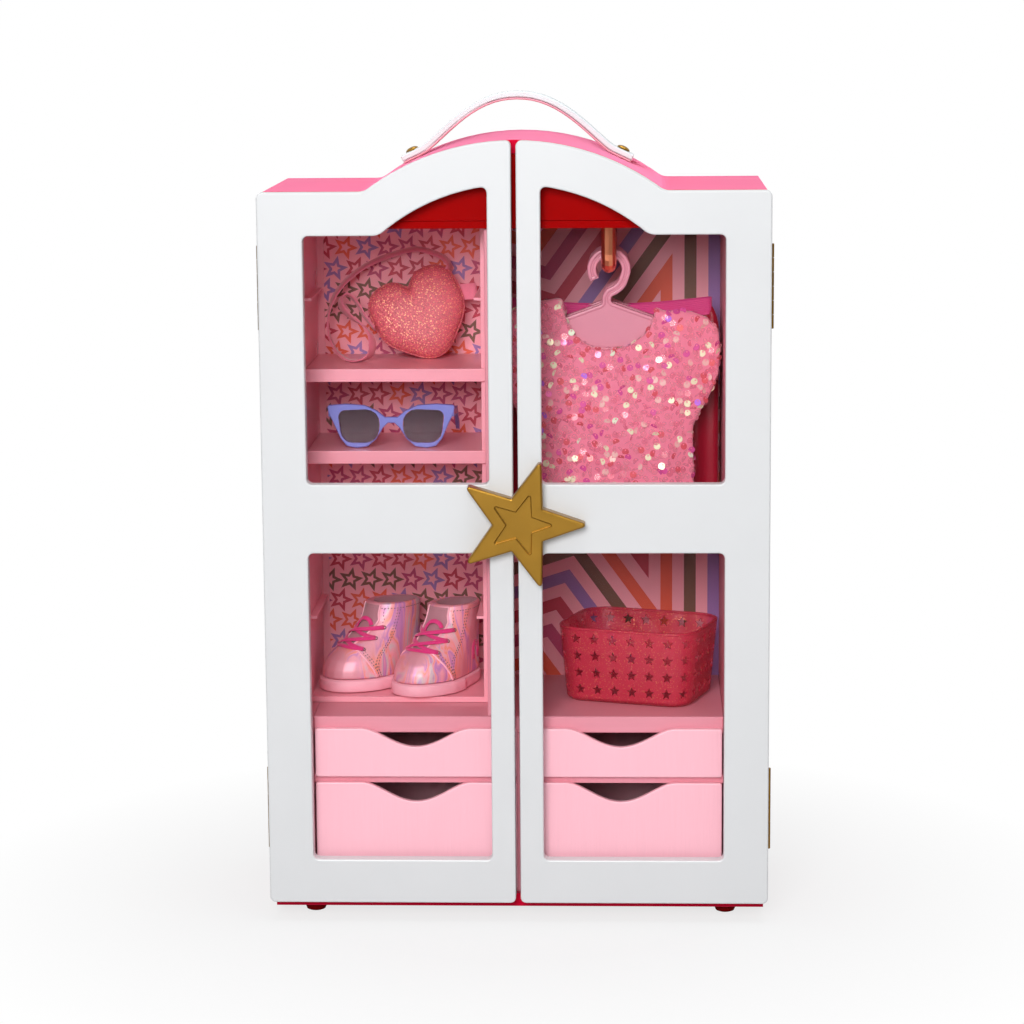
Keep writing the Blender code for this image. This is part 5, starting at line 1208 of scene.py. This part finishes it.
class ClosetSkirt(bpy.types.Operator):
    """Satin skirt with folds and a ribbed elastic waistband."""
    bl_idname = "closet.skirt"
    bl_label = "Satin skirt"
    cloth_steps, cloth_rows, cloth_thick = 240, 34, 0.0004
    band_steps, band_tall, band_ribs = 160, 0.0112, 9
    band_inside, band_outside, rib_depth = 0.0005, 0.0015, 0.00016
    waist_drop, waist_sag, band_lap, hem_rise = 0.0012, 0.0060, 0.004, 0.001
    squareness = 0.77

    def execute(self, context):
        settings = context.scene.closet_clothes
        self.low, self.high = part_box("satin_skirt")
        self.middle = (self.low + self.high) / 2
        skirt = placed_piece("skirt_cloth", self.make_cloth(settings.fold_depth),
                             satin_cloth("satin", settings.satin), "hanging", "satin_skirt")
        elastic = woven_cloth("elastic", settings.elastic, 700, 0.5, directions="X")
        placed_piece("skirt_waistband", self.make_waistband(), elastic, "hanging")
        return {"FINISHED"}

    def outline(self, share, down):
        """A point of the skirt's closed outline at a share of the way round."""
        flare = min(down / 0.12, 1)
        half_x = (self.high.x - self.low.x) / 2 * (0.905 + 0.08 * flare * (2 - flare))
        half_y = (self.high.y - self.low.y) / 2 * (0.66 + 0.16 * flare)
        across, back = cos(tau * share), sin(tau * share)
        x = half_x * abs(across) ** self.squareness * (1 if across > 0 else -1)
        y = half_y * abs(back) ** self.squareness * (1 if back > 0 else -1)
        return self.middle.x + x, self.middle.y + y, back

    def waist_height(self, x):
        """The height of the waist, which sags between the hanger's ends."""
        share = (x - self.middle.x) / (self.high.x - self.low.x) * 2
        return self.high.z - self.waist_drop - self.waist_sag * max(1 - share * share, 0)

    def make_cloth(self, depth):
        """The skirt as one tube of cloth, gathered at the waist, whose folds open towards the hem."""
        shape = bmesh.new()
        lines = []
        limit = (self.high.y - self.low.y) / 2 - self.cloth_thick
        for down in [row / self.cloth_rows for row in range(self.cloth_rows + 1)]:
            line = []
            for step in range(self.cloth_steps):
                x, y, back = self.outline(step / self.cloth_steps, down)
                top = self.waist_height(x) - self.band_lap
                along = x - self.middle.x
                fold = sin(along * 420 + 1.1 * back) * 0.65 + sin(along * 233 + 2.4) * 0.35
                gather = sin(along * 1500) * max(1 - down * 6, 0) * min(down * 16, 1) * 0.35
                y += (fold * (0.10 + 0.90 * min(down * 1.2, 1)) + gather) * depth
                y = self.middle.y + max(min(y - self.middle.y, limit), -limit)
                line.append(shape.verts.new((x, y, top + (self.low.z + self.hem_rise - top) * down)))
            lines.append(line)
        skin(shape, lines)
        return worked(shape, ("SOLIDIFY", {"thickness": self.cloth_thick, "offset": 0.0}))

    def make_waistband(self):
        """A band of elastic round the waist, with ribs that run along it."""
        points = []
        for step in range(self.band_steps):
            x, y, _ = self.outline(step / self.band_steps, 0)
            points.append(Vector((x, y, self.waist_height(x) - self.band_tall / 2)))
        outs = []
        for index in range(self.band_steps):
            along = points[(index + 1) % self.band_steps] - points[index - 1]
            outs.append(Vector((along.y, -along.x, 0)).normalized())
        section = [(-self.band_tall / 2, self.band_inside), (self.band_tall / 2, self.band_inside)]
        for share in [step / (self.band_ribs * 4) for step in range(self.band_ribs * 4 + 1)]:
            rib = self.rib_depth * cos(tau * self.band_ribs * share)
            section.append((self.band_tall * (0.5 - share), self.band_outside + rib))
        shape = bmesh.new()
        sweep(shape, points, outs, section, closed=True)
        return shape


# Small things

class ClosetPurse(bpy.types.Operator):
    """Padded glitter heart with a piped seam, a ribbon strap and a small tag."""
    bl_idname = "closet.purse"
    bl_label = "Heart purse"
    strap_shares = ((0.50, 0.86, 0.3), (0.57, 1.05, 0.3), (0.42, 1.22, 0.3), (0.12, 1.34, 0.3), (-0.15, 1.38, 0.3),
                    (-0.48, 1.32, 0.3), (-0.86, 1.19, 0.3), (-1.23, 1.02, 0.3), (-1.55, 0.78, 0.3),
                    (-1.79, 0.50, 0.3), (-1.92, 0.20, 0.2), (-1.97, -0.13, 0.1), (-1.92, -0.44, 0),
                    (-1.79, -0.70, 0), (-1.60, -0.88, 0), (-1.38, -0.945, 0.05), (-1.16, -0.90, 0.25),
                    (-1.04, -0.78, 0.45), (-1.01, -0.58, 0.5), (-1.06, -0.39, 0.2), (-1.24, -0.20, -0.15),
                    (-1.47, -0.04, -0.4), (-1.66, 0.14, -0.6), (-1.72, 0.29, -0.4), (-1.68, 0.39, 0),
                    (-1.59, 0.43, 0.3), (-1.48, 0.38, 0.35), (-1.34, 0.22, 0.35), (-1.22, 0.02, 0.35),
                    (-1.08, -0.15, 0.35), (-0.97, -0.28, 0.3))
    ribbon_width, ribbon_thick = 0.0088, 0.0011
    stitch_inset, stitch_pitch, stitch_radius = 0.0034, 0.0019, 0.00018
    seam_steps, piping_radius = 90, 0.0008
    puff_pressure, puff_limit = 4.0, 0.0012
    tag_length, tag_width, tag_thick = 0.0120, 0.0112, 0.0008

    def execute(self, context):
        settings = context.scene.closet_small_things
        cloth = glitter("glitter_cloth", settings.glitter, (1.0, 0.52, 0.32), 1650, 0.08, 0.60, grain=0.28)
        padded = refined("heart_purse", 0.0013, 8)
        centre, normal = self.axes_of("heart_purse")
        seam = self.seam_line(padded, centre, normal)
        padded = puffed(padded, seam, self.puff_pressure, self.puff_limit)
        heart = placed_piece("glitter_heart", padded, cloth, "purse", "heart_purse")
        piping = bmesh.new()
        sweep(piping, seam, normal, round_section(self.piping_radius), closed=True)
        placed_piece("heart_piping", piping, cloth, "purse")
        self.make_strap(settings.ribbon)
        self.make_tag(settings.ribbon, centre.y, normal)
        return {"FINISHED"}

    def axes_of(self, node):
        """The middle of a flat thing and its normal, which faces the front."""
        points = np.array([vertex.co[:] for vertex in NODES[node].data.vertices])
        centre = points.mean(0)
        _, _, axes = np.linalg.svd(points - centre, full_matrices=False)
        normal = Vector(axes[2])
        return Vector(centre), normal if normal.y < 0 else -normal

    def seam_line(self, shape, centre, normal):
        """The purse's widest line, seen square on."""
        side = Vector((0, 0, 1)).cross(normal).normalized()
        up = normal.cross(side)
        best = {}
        for vertex in shape.verts:
            spoke = vertex.co - centre
            a, b = spoke.dot(side), spoke.dot(up)
            step = int((atan2(b, a) % tau) / tau * self.seam_steps)
            reach = sqrt(a * a + b * b)
            if step not in best or reach > best[step][0]:
                best[step] = (reach, vertex.co.copy())
        points = evened(evened([best[step][1] for step in sorted(best)]))
        return curve_through(points, 2, closed=True)

    def strap_line(self):
        """The strap's middle line, and how far its back edge leans outwards along it."""
        low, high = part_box("purse_strap")
        line = curve_through([Vector(share) for share in self.strap_shares])
        left, right = min(point.x for point in line), max(point.x for point in line)
        foot, top = min(point.y for point in line), max(point.y for point in line)
        inset = Vector((self.ribbon_thick, self.ribbon_width, self.ribbon_thick)) / 2
        start, size = low + inset, high - low - 2 * inset
        points = []
        for point in line:
            rise = (point.y - foot) / (top - foot)
            shares = ((point.x - left) / (right - left), rise, rise)
            points.append(Vector([a + share * b for a, share, b in zip(start, shares, size)]))
        return points, [point.z for point in line]

    def make_strap(self, colour):
        """The wrist strap: a flat ribbon with a row of stitches along each edge."""
        line, leans = self.strap_line()
        sides, outs = [], []
        for index, lean in enumerate(leans):
            along = line[min(index + 1, len(line) - 1)] - line[max(index - 1, 0)]
            out = Vector((0, 1, 0)).cross(along).normalized()
            side = (Vector((0, 1, 0)) + out * lean).normalized()
            sides.append(side)
            outs.append(side.cross(along).normalized())
        shape = bmesh.new()
        sweep(shape, line, outs, flat_section(self.ribbon_width, self.ribbon_thick))
        ribbon = woven_cloth("ribbon", colour, 900, 0.45, 0.4)
        placed_piece("ribbon_strap", shape, ribbon, "purse", "purse_strap")
        stitches = bmesh.new()
        for edge in (-1, 1):
            for face in (-1, 1):
                row = [point + side * edge * self.stitch_inset + out * face * self.ribbon_thick / 2
                       for point, side, out in zip(line, sides, outs)]
                sew(stitches, row, [out * face for out in outs], self.stitch_pitch, self.stitch_radius)
        thread = woven_cloth("ribbon_thread", shaded(colour, 1.12), 2200)
        placed_piece("ribbon_stitches", stitches, thread, "purse")

    def make_tag(self, colour, middle_y, normal):
        """A small folded tag sewn into the seam at the right."""
        low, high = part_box("heart_purse")
        start = Vector((high.x - 0.0035, middle_y + 0.004, low.z + (high.z - low.z) * 0.70))
        line = [start + Vector((self.tag_length * step / 8, 0.0008 * sin(step * 0.8), 0.0010 * step / 8))
                for step in range(9)]
        shape = bmesh.new()
        sweep(shape, line, normal, flat_section(self.tag_width, self.tag_thick))
        plain = woven_cloth("tag_cloth", shaded(colour, 1.15), 1100, 0.5)
        placed_piece("purse_tag", shape, plain, "purse")


class ClosetSunglasses(bpy.types.Operator):
    """Glossy cat-eye frame with smoked lenses and small metal hinges."""
    bl_idname = "closet.sunglasses"
    bl_label = "Sunglasses"
    pin_inset, pin_depth, pin_drop = 0.0040, 0.0056, 0.0062
    pin_reach, pin_radius = 0.0016, 0.0008

    def execute(self, context):
        settings = context.scene.closet_small_things
        paint_nodes(moulded_plastic("frame_plastic", settings.lilac, 0.22), "sunglasses_frame")
        paint_nodes(smoked_lens("smoked_lens", settings.smoke), "left_lens", "right_lens")
        low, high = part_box("sunglasses_frame")
        metal = cast_metal("glasses_hinge", context.scene.closet_case.gold, 0.3)
        shape = bmesh.new()
        for x in (low.x + self.pin_inset, high.x - self.pin_inset):
            line = [Vector((x, low.y + self.pin_depth, high.z - self.pin_drop + rise))
                    for rise in (-self.pin_reach, 0, self.pin_reach)]
            sweep(shape, line, Vector((0, -1, 0)), round_section(self.pin_radius, 10))
        placed_piece("glasses_hinge_pins", shape, metal, "sunglasses")
        return {"FINISHED"}


class ClosetBoots(bpy.types.Operator):
    """Foil leather ankle boots with laces, stitched panels and dimpled soles."""
    bl_idname = "closet.boots"
    bl_label = "Boots"
    opening = Vector((0, 0.0180, 0.0535))
    gap = ((0.0280, 0.0050), (0.0330, 0.0066), (0.0380, 0.0082), (0.0420, 0.0094), (0.0460, 0.0096),
           (0.0500, 0.0086), (0.0570, 0.0084))
    gap_foot = 0.0285
    lace_heights = (0.0280, 0.0345, 0.0410)
    lace_reach, lace_thick, lace_lift = 0.0136, 0.0009, 0.0008
    lace_loop = ((-0.0040, 0.0400, 0.0012), (-0.0028, 0.0425, 0.0022), (-0.0006, 0.0446, 0.0030),
                 (0.0026, 0.0455, 0.0032), (0.0055, 0.0443, 0.0024), (0.0076, 0.0420, 0.0010))
    eyelet_reach, eyelet_radius, eyelet_wire = 0.0138, 0.0010, 0.0004
    front_seam = ((0.0050, -0.0228, 0.0285), (0.0110, -0.0205, 0.0272), (0.0155, -0.0195, 0.0240),
                  (0.0190, -0.0170, 0.0195), (0.0208, -0.0140, 0.0145), (0.0216, -0.0115, 0.0092))
    side_seam = ((0.0152, 0.0110, 0.0525), (0.0154, 0.0090, 0.0460), (0.0160, 0.0055, 0.0385),
                 (0.0173, 0.0010, 0.0322), (0.0190, -0.0050, 0.0267), (0.0200, -0.0098, 0.0222),
                 (0.0210, -0.0118, 0.0165), (0.0214, -0.0100, 0.0110))
    stitch_pitch, stitch_radius = 0.0022, 0.00032
    lining_reach, tongue_rise = 0.022, 0.0270
    arch_reaches, arch_place, arch_foot = (0.0026, 0.0042, 0.0058), (0.0240, 0.0245), 0.0175
    bumper_from, bumper_turn, bumper_height = -8, 196, 0.0042
    bumper_width, bumper_thick = 0.0076, 0.0014

    def execute(self, context):
        settings = context.scene.closet_small_things
        finishes = {
            "foil": foil_leather("foil_leather", settings.foil),
            "trim": grained_leather("boot_trim", shaded(settings.foil, 1.1), 0.4),
            # Lining cloth at half the foil's brightness: the lining and the tongue darkened as painted shade inside
            # the boot.
            "lining": woven_cloth("boot_lining", shaded(settings.foil, 0.50), 900),
            "lace": woven_cloth("lace", settings.lace, 1300, 0.5),
            "rubber": dimpled_rubber("sole_rubber", settings.rubber),
            # Thread at 0.22 of the foil's brightness: dark thread, darkened further as painted shade in the stitch
            # holes.
            "thread": woven_cloth("boot_thread", shaded(settings.foil, 0.22), 2200),
        }
        for side, turn in zip(("left", "right"), settings.boot_turn):
            self.make_boot(side, turn, settings.lace_width, finishes)
        return {"FINISHED"}

    def make_boot(self, side, turn, lace_width, finishes):
        """One boot, worked square on in its own place and then put back."""
        roll = Matrix.Rotation(-turn, 4, "Z")
        level = solid_of(side + "_boot_sole", roll.inverted())
        low, high = [Vector([pick(vertex.co[axis] for vertex in level.verts) for axis in range(3)])
                     for pick in (min, max)]
        level.free()
        away = roll @ Matrix.Translation(((low.x + high.x) / 2, (low.y + high.y) / 2, low.z))
        upper = refined(side + "_boot_upper", 0.0009, 10, away.inverted())
        # Faces inside the opening take the darker lining: painted shade inside the boot.
        for face in upper.faces:
            spoke = face.calc_center_median() - self.opening
            spoke.z = 0
            if face.normal.dot(spoke) < 0 and abs(face.normal.z) < 0.8 and spoke.length < self.lining_reach:
                face.material_index = 1
        sole = refined(side + "_boot_sole", 0.0008, 5, away.inverted())
        leather, ground = Surface(upper), Surface(sole)
        outer_side = 1 if side == "right" else -1
        for part, shape, names, node in (
                ("upper", upper, ["foil", "lining"], side + "_boot_upper"),
                ("sole", sole, ["rubber"], side + "_boot_sole"),
                ("bumper", self.bumper(ground), ["rubber"], None),
                ("tongue", self.tongue(leather), ["lining"], None),
                ("laces", self.laces(leather, lace_width), ["lace"], None),
                ("edges", self.edges(leather), ["trim"], None),
                ("seams", self.seams(leather), ["thread"], None),
                ("eyelets", self.eyelets(leather), ["thread"], None),
                ("arches", self.arches(leather, outer_side), ["lace"], None)):
            shape.transform(away)
            placed_piece(side + "_" + part, shape, [finishes[name] for name in names], side + "_boot", node)

    def slope(self, surface, x, height, lift=0.0):
        """A point of the boot's front slope and the normal there."""
        return surface.meet(Vector((x, -0.08, height)), Vector((0, 1, 0)), lift)

    def half_gap(self, height):
        """Half the width of the gap between the lace panels at a height."""
        for (low, narrow), (high, wide) in zip(self.gap, self.gap[1:]):
            if height <= high:
                return narrow + (wide - narrow) * (height - low) / (high - low)
        return self.gap[-1][1]

    def tongue(self, surface):
        """The tongue that shows between the lace panels."""
        shape = bmesh.new()
        rows, columns = 18, 10
        lines = []
        for height in [self.gap_foot + self.tongue_rise * row / rows for row in range(rows + 1)]:
            half = self.half_gap(height)
            places = [half * (2 * step / columns - 1) for step in range(columns + 1)]
            lines.append([shape.verts.new(self.slope(surface, x, height, 0.0003)[0]) for x in places])
        skin(shape, lines, closed=False)
        return shape

    def laces(self, surface, width):
        """A bar and two crossings between three pairs of eyelets, and a loop over the tongue."""
        shape = bmesh.new()
        section = flat_section(width, self.lace_thick)

        def strap(places):
            sweep(shape, *zip(*[self.slope(surface, *place) for place in places]), section)

        shares = [step / 16 for step in range(17)]
        strap([(self.lace_reach * (2 * share - 1), self.lace_heights[0] + 0.0008 * sin(pi * share), self.lace_lift)
               for share in shares])
        for low, high in zip(self.lace_heights, self.lace_heights[1:]):
            for sign in (-1, 1):
                strap([(sign * self.lace_reach * (2 * share - 1), low + (high - low) * share,
                        self.lace_lift + (0.0011 + 0.0006 * sign) * sin(pi * share)) for share in shares])
        strap(curve_through([Vector(place) for place in self.lace_loop], 4))
        return shape

    def eyelets(self, surface):
        """Small dark rings where the laces go in."""
        shape = bmesh.new()
        for height in self.lace_heights:
            for sign in (-1, 1):
                point, normal = self.slope(surface, sign * self.eyelet_reach, height, 0.0001)
                side = normal.cross(Vector((0, 0, 1))).normalized()
                up = side.cross(normal)
                ring = [point + (side * cos(angle) + up * sin(angle)) * self.eyelet_radius for angle in around(14)]
                sweep(shape, ring, normal, round_section(self.eyelet_wire, 6), closed=True)
        return shape

    def seam(self, places, sign):
        """A seam's line on one side of the boot."""
        return curve_through([Vector((sign * x, y, z)) for x, y, z in places])

    def edges(self, surface):
        """Piped edges: the lace panels and the toe seams."""
        shape = bmesh.new()
        for sign in (-1, 1):
            met = [self.slope(surface, sign * self.half_gap(height), height, 0.0003)
                   for height in [self.gap_foot + 0.0005 * step for step in range(56)]]
            sweep(shape, *zip(*met), round_section(0.0006))
            sweep(shape, *surface.wrap(self.seam(self.front_seam, sign), 0.0003), round_section(0.0007))
        return shape

    def seams(self, surface):
        """Rows of stitches beside the piped edges, down the sides and round the collar."""
        lines = []
        for sign in (-1, 1):
            lines.append(zip(*[self.slope(surface, sign * (self.half_gap(height) + 0.0026), height, 0.0001)
                               for height in [0.0440 + 0.0005 * step for step in range(22)]]))
            for shift in (0.0, 0.0018):
                for places, start in ((self.side_seam, 0), (self.front_seam, 0.0022)):
                    line = [point + Vector((0, start + shift, 0)) for point in self.seam(places, sign)]
                    lines.append(surface.wrap(line, 0.0001))
        shape = bmesh.new()
        for points, outs in lines:
            sew(shape, points, outs, self.stitch_pitch, self.stitch_radius)
        spokes = [Vector((0.05 * cos(angle), 0.05 * sin(angle), 0)) for angle in around(48)]
        collar = [surface.meet(self.opening + spoke, -spoke, 0.0001) for spoke in spokes]
        sew(shape, *zip(*collar), self.stitch_pitch, self.stitch_radius, closed=True)
        return shape

    def arches(self, surface, sign):
        """Three nested arches sewn on the outer side of the ankle."""
        shape = bmesh.new()
        middle, spring = self.arch_place
        for reach in self.arch_reaches:
            arch = [(middle - reach * cos(pi * step / 12), spring + reach * sin(pi * step / 12)) for step in range(13)]
            met = [surface.meet(Vector((sign * 0.05, y, z)), Vector((-sign, 0, 0)), 0.0001)
                   for y, z in [(middle - reach, self.arch_foot), *arch, (middle + reach, self.arch_foot)]]
            sweep(shape, *zip(*met), flat_section(0.0009, 0.0004))
        return shape

    def bumper(self, surface):
        """The thicker band of rubber round the toe."""
        line, outs = [], []
        for angle in [pi + radians(self.bumper_from + self.bumper_turn * step / 40) for step in range(41)]:
            away = Vector((cos(angle), sin(angle), 0))
            point, normal = surface.meet(away * 0.08 + Vector((0, 0, self.bumper_height)), -away, 0.0001)
            line.append(point)
            outs.append(Vector((normal.x, normal.y, 0)).normalized())
        shape = bmesh.new()
        sweep(shape, line, outs, flat_section(self.bumper_width, self.bumper_thick))
        return shape


OPERATORS = (ClosetStage, ClosetCase, ClosetDoors, ClosetHinges, ClosetLatch, ClosetHandle, ClosetDrawers,
             ClosetPrints, ClosetShelfUnit, ClosetRail, ClosetHangers, ClosetBasket, ClosetTop, ClosetSkirt,
             ClosetPurse, ClosetSunglasses, ClosetBoots)


class ClosetPanel(bpy.types.Panel):
    """Lists what can be made for the closet."""
    bl_idname = "VIEW3D_PT_closet"
    bl_label = "Doll closet"
    bl_space_type = "VIEW_3D"
    bl_region_type = "UI"
    bl_category = "Closet"

    def draw(self, context):
        column = self.layout.column()
        for operator in OPERATORS:
            column.operator(operator.bl_idname)
        for name, group in SETTINGS.items():
            box = self.layout.box()
            box.label(text=group.__doc__)
            for key in group.__annotations__:
                box.prop(getattr(context.scene, name), key)


def register():
    """Adds the settings, the operators and the panel."""
    for group in SETTINGS.values():
        bpy.utils.register_class(group)
    for name, group in SETTINGS.items():
        setattr(bpy.types.Scene, name, PointerProperty(type=group))
    for operator in OPERATORS:
        bpy.utils.register_class(operator)
    bpy.utils.register_class(ClosetPanel)


def unregister():
    """Takes them out again."""
    bpy.utils.unregister_class(ClosetPanel)
    for operator in reversed(OPERATORS):
        bpy.utils.unregister_class(operator)
    for name in SETTINGS:
        delattr(bpy.types.Scene, name)
    for group in SETTINGS.values():
        bpy.utils.unregister_class(group)


def main():
    """Makes everything in order."""
    register()
    for operator in OPERATORS:
        group, name = operator.bl_idname.split(".")
        getattr(getattr(bpy.ops, group), name)()


if __name__ == "__main__":
    main()
